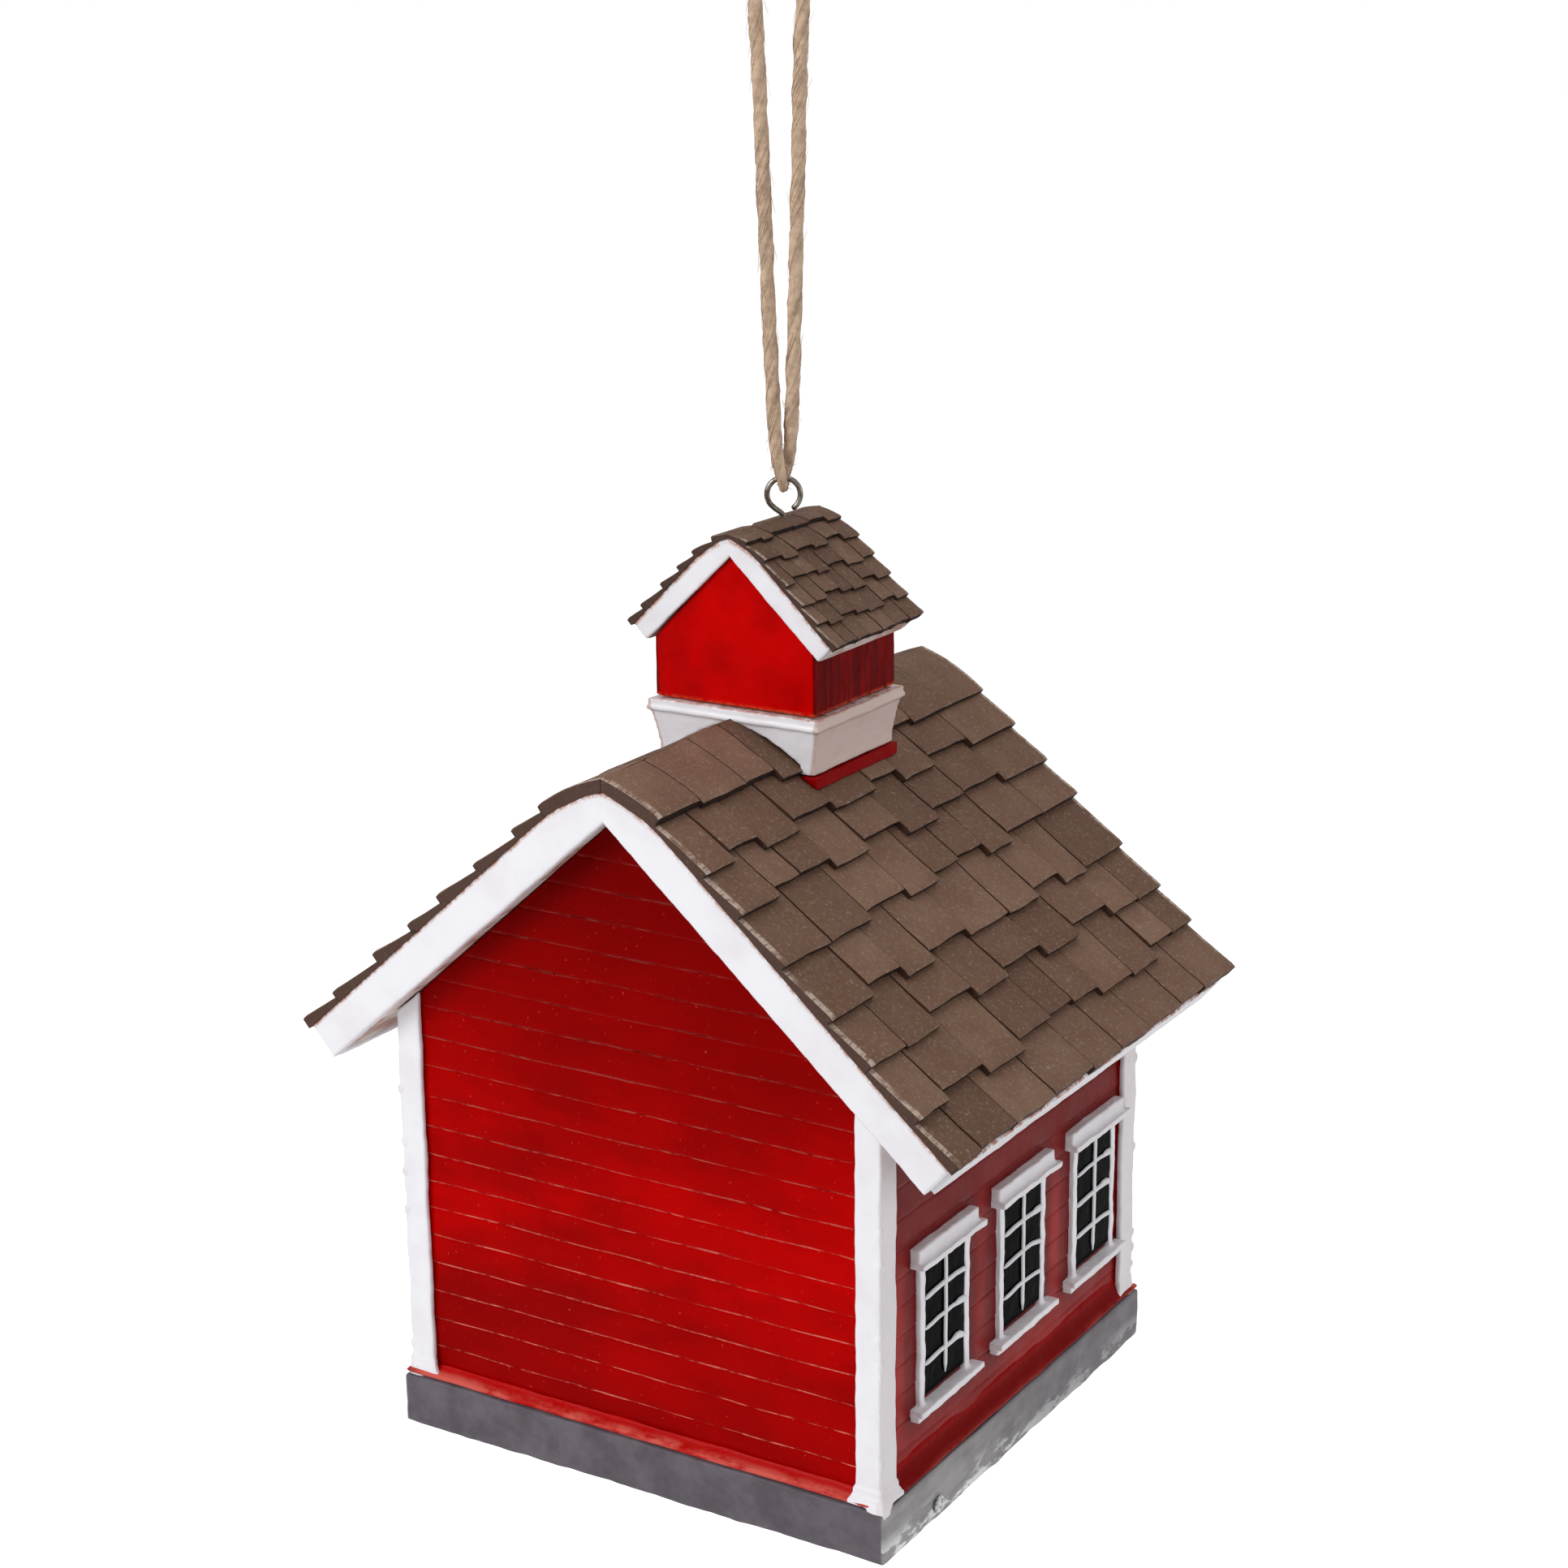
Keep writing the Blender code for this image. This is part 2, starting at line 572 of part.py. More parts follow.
# ---------------------------------------------------------------- windows, door, entrance ring
def make_windows():
    wall_start = BOARD_SIDE - BODY_DEPTH / 2 + WINDOW_FRONT
    wall_end = BODY_DEPTH / 2 - BOARD_SIDE - WINDOW_REAR
    pitch = (wall_end - wall_start + WINDOW_SPACE) / WINDOW_COUNT
    cap_half = (pitch - WINDOW_SPACE) / 2
    half = cap_half - CAP_OUT
    back = WALL_X + GAP
    top = WINDOW_FOOT + WINDOW_HEIGHT
    low, high = WINDOW_FOOT + CAP_HEIGHT, top - CAP_HEIGHT
    for side_name, side in SIDES:
        for n in range(WINDOW_COUNT):
            name = f"window_{side_name}_{n + 1}"
            y = wall_start + cap_half + pitch * n
            open_y = half - CASING_BAND

            def across(front, y0, y1, z0, z1, rear=back):
                return (*sorted((side * rear, side * front)), y + y0, y + y1, z0, z1)

            face = back + CASING_THICK
            cap = back + CAP_THICK
            piece(name + "_casing", solid([
                across(face, -half, -open_y, low, high), across(face, open_y, half, low, high),
                across(cap, -cap_half, cap_half, high, top),
                across(cap, -cap_half, cap_half, WINDOW_FOOT, low)]), WHITE)
            glass = back + PANE_THICK
            in_y, in_low, in_high = open_y - GAP, low + GAP, high - GAP
            piece(name + "_pane", solid([across(glass, -in_y, in_y, in_low, in_high)]), BLACK)
            bar_back, bar_face = glass + GAP, face - GAP
            row = (in_high - in_low) / MUNTIN_ROWS
            bars = [across(bar_face, -MUNTIN / 2, MUNTIN / 2, in_low, in_high, bar_back)]
            for k in range(1, MUNTIN_ROWS):
                z = in_low + row * k
                bars.append(across(bar_face, -in_y, in_y, z - MUNTIN / 2, z + MUNTIN / 2, bar_back))
            piece(name + "_muntins", solid(bars), WHITE)


def make_entrance():
    back = WALL_Y + GAP
    half = DOOR_WIDTH / 2
    foot, head = WALL_BASE, WALL_BASE + DOOR_HEIGHT
    face, cap = back + CASING_THICK, back + CAP_THICK
    open_x = half - CASING_BAND
    step = CASING_BAND / 2
    piece("door_frame", solid([
        (-half, -open_x, back, face, foot, head), (open_x, half, back, face, foot, head),
        (-half - CAP_OUT, half + CAP_OUT, back, cap, head, head + CAP_HEIGHT),
        (-half, half, back, face, foot, foot + step)]), WHITE)
    slab_x, slab_low, slab_high = open_x - GAP, foot + step + GAP, head - GAP
    stile = slab_x / 4
    middle = (slab_low + slab_high) / 2
    panels = []
    for low, high in ((slab_low, middle), (middle, slab_high)):
        panels.append((stile - slab_x, slab_x - stile, back + DOOR_THICK / 2, back + 2 * DOOR_THICK,
                       low + stile, high - stile))
    piece("door_slab", solid([(-slab_x, slab_x, back, back + DOOR_THICK, slab_low, slab_high)], panels), RED)
    knob = [(0, 0), (KNOB_RADIUS / 2, 0), (KNOB_RADIUS / 2, KNOB_RADIUS * 0.6), (KNOB_RADIUS, KNOB_RADIUS),
            (KNOB_RADIUS * 0.8, KNOB_RADIUS * 1.6), (0, KNOB_RADIUS * 1.8)]
    place = (slab_x - stile / 2, back + DOOR_THICK + GAP, middle)
    piece("door_knob", turned(knob, place, (0, 1, 0), 12), BRASS, smooth=True)
    outer = ENTRANCE_RADIUS + RING_BAND
    ring = [(ENTRANCE_RADIUS, 0), (outer, 0), (outer, RING_THICK * 0.7), (outer - 1, RING_THICK),
            (ENTRANCE_RADIUS + 0.8, RING_THICK), (ENTRANCE_RADIUS, RING_THICK * 0.7)]
    piece("entrance_ring", turned(ring, (0, back, ENTRANCE_Z), (0, 1, 0), 32), WHITE, smooth=True)


# ---------------------------------------------------------------- main roof
def make_roof():
    shingles = shingle_section(MAIN, MAIN_BUTTS, SHINGLE_HEIGHTS)
    for name, side in SIDES:
        deck = mirrored(MAIN.section(trim=FASCIA_THICK + GAP), side)
        piece("roof_panel_" + name, slab_y(deck, -DECK_Y, DECK_Y), RED)
        piece("eave_fascia_" + name, slab_y(mirrored(MAIN.edge(FASCIA_THICK), side), -DECK_Y, DECK_Y), WHITE)
        reach = BARGE_Y + SHINGLE_OUT
        piece("shingles_" + name, slab_y(mirrored(shingles, side), -reach, reach), BROWN)
        for end_name, end in ENDS:
            low, high = sorted((end * BARGE_Y, end * (BARGE_Y - BARGE_THICK)))
            piece(f"barge_board_{end_name}_{name}", slab_y(mirrored(MAIN.section(), side), low, high), WHITE)


# ---------------------------------------------------------------- cupola
def without_undercuts(line):
    """The line with each butt dropped straight down, so nothing reaches under a shingle's edge."""
    dropped = [line[0]]
    for (x, z), (next_x, next_z) in zip(line[1:], [*line[2:], line[-1]]):
        reach = dropped[-1][0]
        if x < reach:
            z += (next_z - z) * (reach - x) / (next_x - x)
            x = reach
        dropped.append((x, z))
    return dropped


def roof_saddle(extra):
    """Everything below the main shingles, with a gap, as one cutting block across the ridge."""
    line = shingle_top(MAIN, MAIN_BUTTS, SHINGLE_HEIGHTS, lift=extra, shift=extra, start=0)
    line = without_undercuts(line)
    deep = MAIN.soffit(MAIN.eave_x)
    right = [*line, (line[-1][0], deep)]
    left = [(-x, z) for x, z in reversed(right)]
    return slab_y([*left[:-1], *right], -BODY_DEPTH / 2, BODY_DEPTH / 2)


def make_cupola():
    near, far = CUPOLA_Y - CUPOLA_HALF_Y, CUPOLA_Y + CUPOLA_HALF_Y
    saddle = cutter("saddle", roof_saddle(GAP))

    band_foot = SKIRT_TOP - SKIRT_BAND
    cove_top = band_foot - SKIRT_BEAD
    levels = [(SKIRT_TOP, 0.0), (band_foot, 0.0), (cove_top, SKIRT_BEAD)]
    for share in (0.25, 0.5, 0.75, 1.0):
        inset = SKIRT_BEAD + (SKIRT_COVE - SKIRT_BEAD) * math.sin(share * math.pi / 2)
        levels.append((cove_top - (cove_top - SKIRT_FOOT) * share, inset))
    data = bmesh.new()
    rings = []
    for z, inset in levels:
        half_x, half_y = SKIRT_HALF_X - inset, SKIRT_HALF_Y - inset
        rings.append([data.verts.new((sx * half_x, CUPOLA_Y + sy * half_y, z))
                      for sx, sy in ((-1, -1), (1, -1), (1, 1), (-1, 1))])
    for upper, lower in zip(rings, rings[1:]):
        for n in range(4):
            m = (n + 1) % 4
            data.faces.new((upper[n], upper[m], lower[m], lower[n]))
    data.faces.new(rings[0])
    data.faces.new(rings[-1])
    cut(piece("cupola_skirt", outward(data), WHITE), saddle)

    for name, side in SIDES:
        strip = (*sorted((side * CURB_HALF_X, side * SKIRT_HALF_X / 2)), CUPOLA_Y - CURB_HALF_Y,
                 CUPOLA_Y + CURB_HALF_Y, MAIN.soffit(CURB_HALF_X), SKIRT_FOOT - GAP)
        cut(piece("cupola_curb_" + name, solid([strip]), RED), saddle)

    body = piece("cupola_body", slab_y(gable_outline(CUPOLA_HALF_X, SKIRT_TOP + GAP, SMALL), near, far), RED)
    half_deck = SMALL.section(start=0)
    right = half_deck[:-1]
    left = [(-x, z) for x, z in reversed(right[1:])]
    crown = (0, SMALL.ridge)
    deck = piece("cupola_deck", slab_y([*right, crown, *left], near, far), BROWN)

    bore_radius = EYE_WIRE + GAP
    low = EYE.z - EYE_SHANK - GAP
    bore = [(0, low), (bore_radius, low), (bore_radius, EYE.z), (0, EYE.z)]
    tool = cutter("eye_bore", turned(bore, (0, EYE_Y, 0), (0, 0, 1), 12))
    cut(body, tool)
    cut(deck, tool)
    shingles = shingle_section(SMALL, SMALL_BUTTS, CUPOLA_SHINGLE_HEIGHTS)
    verge = CUPOLA_HALF_Y + GAP + CUPOLA_BARGE
    for name, side in SIDES:
        reach = verge + SHINGLE_OUT
        layer = slab_y(mirrored(shingles, side), CUPOLA_Y - reach, CUPOLA_Y + reach)
        cut(piece("cupola_shingles_" + name, layer, BROWN), tool)
        for end_name, end in ENDS:
            bounds = sorted((CUPOLA_Y + end * verge, CUPOLA_Y + end * (verge - CUPOLA_BARGE)))
            outline = mirrored(SMALL.section(), side)
            piece(f"cupola_barge_{end_name}_{name}", slab_y(outline, *bounds), WHITE)


# ---------------------------------------------------------------- screw eye and twine loop
def turned_with_eye(origin, across, towards, up):
    """A point measured from an origin, in the plane of the turned ring."""
    cos, sin = math.cos(EYE_TURN), math.sin(EYE_TURN)
    return origin + Vector((across * cos + towards * sin, across * sin - towards * cos, up))


def make_eye():
    neck = EYE_RING * EYE_NECK
    path = [(0, 0, -EYE_SHANK), (0, 0, -EYE_RING * 1.4), (-0.1, 0, -EYE_RING * 1.25),
            (-EYE_RING * 0.23, 0, -neck), (-EYE_RING * 0.52, 0, -EYE_RING * 0.86)]
    turns = 26
    start, stop = math.radians(219), math.radians(-60)
    for n in range(turns + 1):
        angle = start + (stop - start) * n / turns
        path.append((EYE_RING * math.cos(angle), 0, EYE_RING * math.sin(angle)))
    tube("screw_eye", [turned_with_eye(EYE, *point) for point in path], EYE_WIRE, STEEL, HOUSE_AXIS, resolution=2)


def make_twine():
    route = smooth_route(TWINE_ROUTE, ROUTE_STEPS)
    points = [turned_with_eye(BEARING, *point[:3]) for point in route]
    tube("jute_loop", points, TWINE, JUTE, None, [point[3] for point in route], resolution=2)
    below, above = TWINE_ROUTE[0], TWINE_ROUTE[-1]
    middle = turned_with_eye(BEARING, *[(a + b) / 2 for a, b in zip(below[:3], above[:3])])
    rings = 8
    profile = []
    for n in range(rings + 1):
        angle = math.pi * n / rings
        profile.append((0 if n in (0, rings) else KNOT_RADIUS * math.sin(angle), -KNOT_HALF * math.cos(angle)))
    piece("loop_knot", turned(profile, middle, (0, 0, 1), 16), JUTE, None, smooth=True)


make_base()
make_walls()
make_corner_boards()
make_windows()
make_entrance()
make_roof()
make_cupola()
make_eye()
make_twine()
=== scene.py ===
"""A hanging schoolhouse birdhouse: cast and hand-painted walls, shingled roofs, jute hanging loop.

Sections follow the house from its hanging loop down to the clean-out floor. House millimetres
have x to the right, y from the blank gable to the entrance gable, z up from the plinth's underside.
"""

import math
import random

import bmesh
import bpy
from mathutils import Matrix, Vector, noise


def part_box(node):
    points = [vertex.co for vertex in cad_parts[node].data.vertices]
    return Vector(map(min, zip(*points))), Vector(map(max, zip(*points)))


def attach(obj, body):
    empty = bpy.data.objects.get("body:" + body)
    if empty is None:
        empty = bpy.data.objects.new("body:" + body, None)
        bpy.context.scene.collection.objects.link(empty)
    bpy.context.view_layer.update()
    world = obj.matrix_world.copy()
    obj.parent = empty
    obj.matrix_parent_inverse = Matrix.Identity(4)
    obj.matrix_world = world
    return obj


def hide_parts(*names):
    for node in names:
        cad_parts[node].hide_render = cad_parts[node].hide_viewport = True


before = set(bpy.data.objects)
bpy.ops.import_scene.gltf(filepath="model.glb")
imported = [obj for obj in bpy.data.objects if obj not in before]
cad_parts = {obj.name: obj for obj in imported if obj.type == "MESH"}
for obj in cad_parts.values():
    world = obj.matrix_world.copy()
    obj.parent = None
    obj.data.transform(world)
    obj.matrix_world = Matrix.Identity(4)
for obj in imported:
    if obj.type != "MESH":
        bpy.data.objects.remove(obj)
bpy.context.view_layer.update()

# ------------------------------------------------------------ camera, studio light and floor
# The house is looked at from its blank gable's right, a little from above, with a long lens.
# White seamless paper lies well below it, and soft boxes stand at the left, right and above.
MM = 0.001
plinth_low, plinth_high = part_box("plinth")
HOUSE = Vector((0.0, (plinth_low.y + plinth_high.y) / 2, plinth_low.z))   # metres


def spot(x, y, z):
    """A place in house millimetres as a point in metres."""
    return HOUSE + Vector((x, y, z)) * MM


def house_box(node):
    """The low and high corner of a CAD node's box, in house millimetres."""
    return [(corner - HOUSE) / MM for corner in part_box(node)]


def placed(name, data):
    """A new object in the scene."""
    obj = bpy.data.objects.new(name, data)
    bpy.context.scene.collection.objects.link(obj)
    return obj


AZIMUTH, ELEVATION, ROLL = math.radians(31.67), math.radians(15.93), math.radians(-0.58)
DISTANCE = 746.3
AIM_SIDE, AIM_HEIGHT = 2.04, 165.26
LENS, SENSOR = 67.7, 36.0

back = Vector((math.sin(AZIMUTH) * math.cos(ELEVATION), -math.cos(AZIMUTH) * math.cos(ELEVATION),
               math.sin(ELEVATION)))
aside = Vector((math.cos(AZIMUTH), math.sin(AZIMUTH), 0.0))
camera_data = bpy.data.cameras.new("camera")
camera_data.lens = LENS
camera_data.sensor_width = SENSOR
camera_data.clip_start = 0.02
camera = placed("camera", camera_data)
camera.location = spot(*(aside * AIM_SIDE + Vector((0, 0, AIM_HEIGHT)) + back * DISTANCE))
camera.rotation_mode = "QUATERNION"
upward = back.cross(aside)
right = aside * math.cos(ROLL) + upward * math.sin(ROLL)
upward = upward * math.cos(ROLL) - aside * math.sin(ROLL)
camera.rotation_quaternion = Matrix((right, upward, back)).transposed().to_quaternion()
bpy.context.scene.camera = camera
bpy.context.scene.view_settings.view_transform = "Standard"


LIT_HEIGHT = 120.0


def soft_box(name, place, size, watts):
    """A square light at a place, turned to the middle of the house."""
    data = bpy.data.lights.new(name, "AREA")
    data.shape = "RECTANGLE"
    data.size = data.size_y = size
    data.energy = watts
    lamp = placed(name, data)
    lamp.location = spot(*place)
    lamp.rotation_mode = "QUATERNION"
    lamp.rotation_quaternion = (spot(0, 0, LIT_HEIGHT) - spot(*place)).to_track_quat("-Z", "Y")


soft_box("key_box", (-480, -1150, 780), 0.8, 10.8)
soft_box("side_box", (1300, 300, 500), 0.9, 4.3)
soft_box("top_box", (100, 100, 1300), 1.0, 5.5)

# The glow lights the house; straight to the camera, the room is plain white.
GLOW = 0.46
WHITE = (1.0, 1.0, 1.0, 1.0)
studio = bpy.data.worlds.new("studio")
studio.use_nodes = True
bpy.context.scene.world = studio
studio_nodes, studio_links = studio.node_tree.nodes, studio.node_tree.links
seen = studio_nodes.new("ShaderNodeLightPath")
either = studio_nodes.new("ShaderNodeMixShader")
studio_links.new(seen.outputs["Is Camera Ray"], either.inputs["Fac"])
for number, room, strength in ((1, studio_nodes["Background"], GLOW),
                               (2, studio_nodes.new("ShaderNodeBackground"), 1.0)):
    room.inputs["Color"].default_value = WHITE
    room.inputs["Strength"].default_value = strength
    studio_links.new(room.outputs["Background"], either.inputs[number])
studio_links.new(either.outputs["Shader"], studio_nodes["World Output"].inputs["Surface"])


# Every finish is a Principled shader with procedural patterns on Object coordinates.
def tone(red, green, blue):
    """A display colour of 0 to 255 as a linear colour."""
    return tuple((c / 255) ** 2.2 for c in (red, green, blue)) + (1.0,)


class Finish:
    """A material under construction: its shader, its colour so far, and the patterns used on it."""

    def __init__(self, name, slot, colour, roughness, **sockets):
        self.material = bpy.data.materials.new(name)
        self.material.use_nodes = True
        self.nodes = self.material.node_tree.nodes
        self.links = self.material.node_tree.links
        self.shader = self.nodes["Principled BSDF"]
        self.place = self.nodes.new("ShaderNodeTexCoord").outputs["Object"]
        self.slot, self.colour = slot, colour
        self.set("Base Color", colour)
        self.set("Roughness", roughness)
        for socket, value in sockets.items():
            self.set(socket.replace("_", " "), value)

    def put(self, node, socket, value):
        if isinstance(value, bpy.types.NodeSocket):
            self.links.new(value, node.inputs[socket])
        else:
            node.inputs[socket].default_value = value

    def set(self, socket, value):
        self.put(self.shader, socket, value)

    def node(self, kind, output, inputs, **settings):
        node = self.nodes.new(kind)
        for setting, value in settings.items():
            setattr(node, setting, value)
        for socket, value in inputs.items():
            self.put(node, socket, value)
        return node.outputs[output]

    def grain(self, size, detail=3.0, harsh=0.5, stretch=(1, 1, 1)):
        """Noise with features of a size in millimetres, stretched along the axes."""
        spread = self.node("ShaderNodeMapping", "Vector",
                           {"Scale": [1 / (size * MM * s) for s in stretch], "Vector": self.place})
        return self.node("ShaderNodeTexNoise", "Fac",
                         {"Scale": 1.0, "Detail": detail, "Roughness": harsh, "Vector": spread})

    def along(self, axis, middle=(0, 0, 0)):
        """The distance from a middle along one axis, in millimetres."""
        moved = self.node("ShaderNodeMapping", "Vector", {
            "Location": [-c / MM for c in spot(*middle)], "Scale": (1 / MM,) * 3, "Vector": self.place})
        return self.node("ShaderNodeSeparateXYZ", axis, {"Vector": moved})

    def mark(self, name):
        """A value kept on the mesh's own points."""
        return self.node("ShaderNodeAttribute", "Fac", {}, attribute_name=name)

    def band(self, value, low, high, start=0.0, stop=1.0):
        """The value eased from start at low to stop at high."""
        return self.node("ShaderNodeMapRange", "Result", {
            "Value": value, "From Min": low, "From Max": high, "To Min": start, "To Max": stop},
            interpolation_type="SMOOTHSTEP")

    def patches(self, size, low, high, start=0.0, stop=1.0, detail=3.0, harsh=0.5, stretch=(1, 1, 1)):
        """Noise eased into patches of a size in millimetres."""
        return self.band(self.grain(size, detail, harsh, stretch), low, high, start, stop)

    def times(self, *values):
        """The product of several values."""
        product = values[0]
        for value in values[1:]:
            product = self.node("ShaderNodeMath", "Value", {0: product, 1: value}, operation="MULTIPLY")
        return product

    def unsigned(self, value):
        return self.node("ShaderNodeMath", "Value", {0: value, 1: 0.0}, operation="ABSOLUTE")

    def mix(self, share, first, second):
        return self.node("ShaderNodeMix", 2, {"Factor": share, 6: first, 7: second}, data_type="RGBA")

    def over(self, share, colour):
        """Brushes a colour over what is there so far."""
        self.colour = self.mix(share, self.colour, colour)
        self.set("Base Color", self.colour)

    def gloss(self, size, low, high):
        """A roughness that varies from low to high in soft patches."""
        self.set("Roughness", self.patches(size, 0.3, 0.7, low, high))

    def bump(self, height, depth):
        """Relief whose full height is a depth in millimetres."""
        self.set("Normal", self.node("ShaderNodeBump", "Normal", {
            "Strength": 1.0, "Distance": depth * MM, "Height": height}))


PAPER_GLOW = 0.62
paper = Finish("paper", None, tone(248, 248, 247), 0.9)
paper.over(paper.patches(60, 0.3, 0.7), tone(245, 245, 245))
paper.set("Emission Color", WHITE)
camera_sees = paper.node("ShaderNodeLightPath", "Is Camera Ray", {})
paper.set("Emission Strength", paper.times(camera_sees, PAPER_GLOW))
floor_mesh = bpy.data.meshes.new("studio_floor")
FLOOR_REACH, FLOOR_DROP = 12.0, 300.0
floor_mesh.from_pydata([(sx * FLOOR_REACH, sy * FLOOR_REACH, spot(0, 0, -FLOOR_DROP).z)
                        for sx, sy in ((-1, -1), (1, -1), (1, 1), (-1, 1))], [], [(0, 1, 2, 3)])
floor_mesh.materials.append(paper.material)
placed("studio_floor", floor_mesh)

# ------------------------------------------------------------ jute hanging loop and its knot
# Jute twine of 3.6 mm, two plies laid loosely together, threaded through the screw eye. Its ends
# are tied above in an overhand knot, and the loop hangs on a hook. Loose fibres stand off it.
TWINE = 1.8
EYE_TURN = math.radians(28.0)      # the ring is turned out of the gable's plane
EYE_Y = 5.1
EYE_RING, EYE_WIRE = 4.15, 0.7
EYE_HEIGHT = 238.664               # middle of the ring
BEARING_HEIGHT = EYE_HEIGHT + EYE_RING - EYE_WIRE
# One strand from the knot down to the ring: across, towards, up from where it bears, and thickness.
STRAND = (
    (-5.95, 0.0, 122.85, 1.0), (-5.35, 0.0, 108.55, 1.0), (-4.75, 0.1, 91.55, 1.0), (-4.2, 0.0, 74.55, 1.0),
    (-3.65, -0.1, 57.55, 1.0), (-3.15, 0.1, 41.55, 1.0), (-2.65, 0.2, 27.55, 1.0), (-2.2, 0.5, 17.55, 1.0),
    (-1.75, 1.2, 9.55, 0.97), (-1.05, 2.15, 4.75, 0.88), (-0.4, 2.45, 1.85, 0.76), (-0.1, 1.75, -0.75, 0.72),
    (0.0, 0.0, -1.65, 0.72))
OVER_HOOK = (
    (6.3, 0.0, 123.55, 1.0), (7.2, 0.0, 135.15, 1.0), (5.1, 0.0, 140.75, 1.0), (0.0, 0.0, 142.75, 1.0),
    (-5.1, 0.0, 140.75, 1.0), (-7.1, 0.0, 135.75, 1.0), (-6.75, 0.0, 131.85, 1.0))
TWINE_ROUTE = STRAND + tuple((-x, -y, up, thick) for x, y, up, thick in STRAND[-2:0:-1]) + OVER_HOOK
ROUTE_STEPS = 12
TWIST_PITCH = 26.0                 # one turn of the plies
PLIES = 2
FIBRES, STRAYS = 620, 150
FIBRE_RADIUS = 0.075
IN_KNOT = 3.0


def off_eye(height, across, towards, up):
    """A point in the plane of the turned ring, from a height on the eye's axis."""
    cos, sin = math.cos(EYE_TURN), math.sin(EYE_TURN)
    return Vector((across * cos + towards * sin, EYE_Y + across * sin - towards * cos, height + up))


def smooth_route(points, steps):
    """Points on a smooth curve that passes through every given point."""
    padded = [points[0], *points, points[-1]]
    route = []
    for before, start, end, after in zip(padded, padded[1:], padded[2:], padded[3:]):
        for n in range(steps):
            t = n / steps
            route.append(tuple(
                0.5 * (2 * b + (c - a) * t + (2 * a - 5 * b + 4 * c - d) * t * t
                       + (3 * b - a - 3 * c + d) * t ** 3)
                for a, b, c, d in zip(before, start, end, after)))
    route.append(points[-1])
    return route


def carried_frames(points):
    """For each point of a path: its direction and two steady directions across it."""
    frames = []
    across = None
    for n, point in enumerate(points):
        ahead = (points[min(n + 1, len(points) - 1)] - points[max(n - 1, 0)]).normalized()
        if across is None:
            across = ahead.orthogonal().normalized()
        across = (across - ahead * across.dot(ahead)).normalized()
        frames.append((ahead, across, ahead.cross(across)))
    return frames


def keep(mesh, name, values):
    """Values kept on the mesh's points, for its finish to read."""
    mesh.attributes.new(name, "FLOAT", "POINT").data.foreach_set("value", values)


def add_piece(name, mesh, finish, *nodes, body="house", smooth=True):
    """A finished mesh in metres becomes a piece that rides on its body and stands for CAD nodes."""
    mesh.materials.clear()
    mesh.materials.append(finish.material)
    if smooth:
        mesh.shade_smooth()
    obj = placed(name, mesh)
    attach(obj, body)
    if nodes:
        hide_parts(*nodes)
    return obj


def mesh_from(name, points, faces, marks=None):
    """A mesh from points in house millimetres; marks are named values on its points."""
    mesh = bpy.data.meshes.new(name)
    mesh.from_pydata([spot(*p) for p in points], [], faces)
    mesh.update()
    for mark_name, values in (marks or {}).items():
        keep(mesh, mark_name, values)
    return mesh


def swept(points, radii, sides, shape=lambda n, angle: 1.0):
    """Rings of points along a path, and the faces that join them and close the ends."""
    made, faces = [], []
    for n, (point, (_, across, other)) in enumerate(zip(points, carried_frames(points))):
        for k in range(sides):
            angle = 2 * math.pi * k / sides
            reach = radii[n] * shape(n, angle)
            made.append(point + (across * math.cos(angle) + other * math.sin(angle)) * reach)
    for n in range(len(points) - 1):
        for k in range(sides):
            m = (k + 1) % sides
            faces.append((n * sides + k, n * sides + m, (n + 1) * sides + m, (n + 1) * sides + k))
    last = (len(points) - 1) * sides
    faces.append(tuple(reversed(range(sides))))
    faces.append(tuple(range(last, last + sides)))
    return made, faces


def path_lengths(points):
    total, lengths = 0.0, [0.0]
    for a, b in zip(points, points[1:]):
        total += (b - a).length
        lengths.append(total)
    return lengths


jute = Finish("jute", "jute", tone(98, 68, 50), 0.95, Sheen_Weight=0.1, Specular_IOR_Level=0.1)
# Painted shade and highlight: dark jute in the grooves between the plies and pale on their crowns; on the loose
# fibres the same value is a random tone.
jute.over(jute.times(jute.band(jute.mark("lie"), 0.0, 1.0, 0.55, 1.0),
                     jute.patches(2.2, 0.3, 0.7, 0.7, 1.15, 4.0, 0.7)), tone(204, 177, 152))
jute.bump(jute.grain(0.5, 2.0, 0.6, stretch=(1, 1, 5)), 0.12)

twine_route = smooth_route(TWINE_ROUTE, ROUTE_STEPS)
twine_line = [off_eye(BEARING_HEIGHT, *p[:3]) for p in twine_route]
twine_share = [p[3] for p in twine_route]
twine_run = path_lengths(twine_line)


def twist_at(n):
    return 2 * math.pi * twine_run[n] / TWIST_PITCH


def lobes(run, angle):
    """The outline of the laid plies at an angle, after a run along the twine."""
    return math.sqrt(abs(math.cos((angle - 2 * math.pi * run / TWIST_PITCH) * PLIES / 2)))


def ply_reach(n, angle):
    """The plies' outline, a little uneven along the twine."""
    uneven = noise.noise((twine_run[n] / 5.0, angle, 3.7))
    return 0.80 + 0.17 * lobes(twine_run[n], angle) + 0.07 * uneven


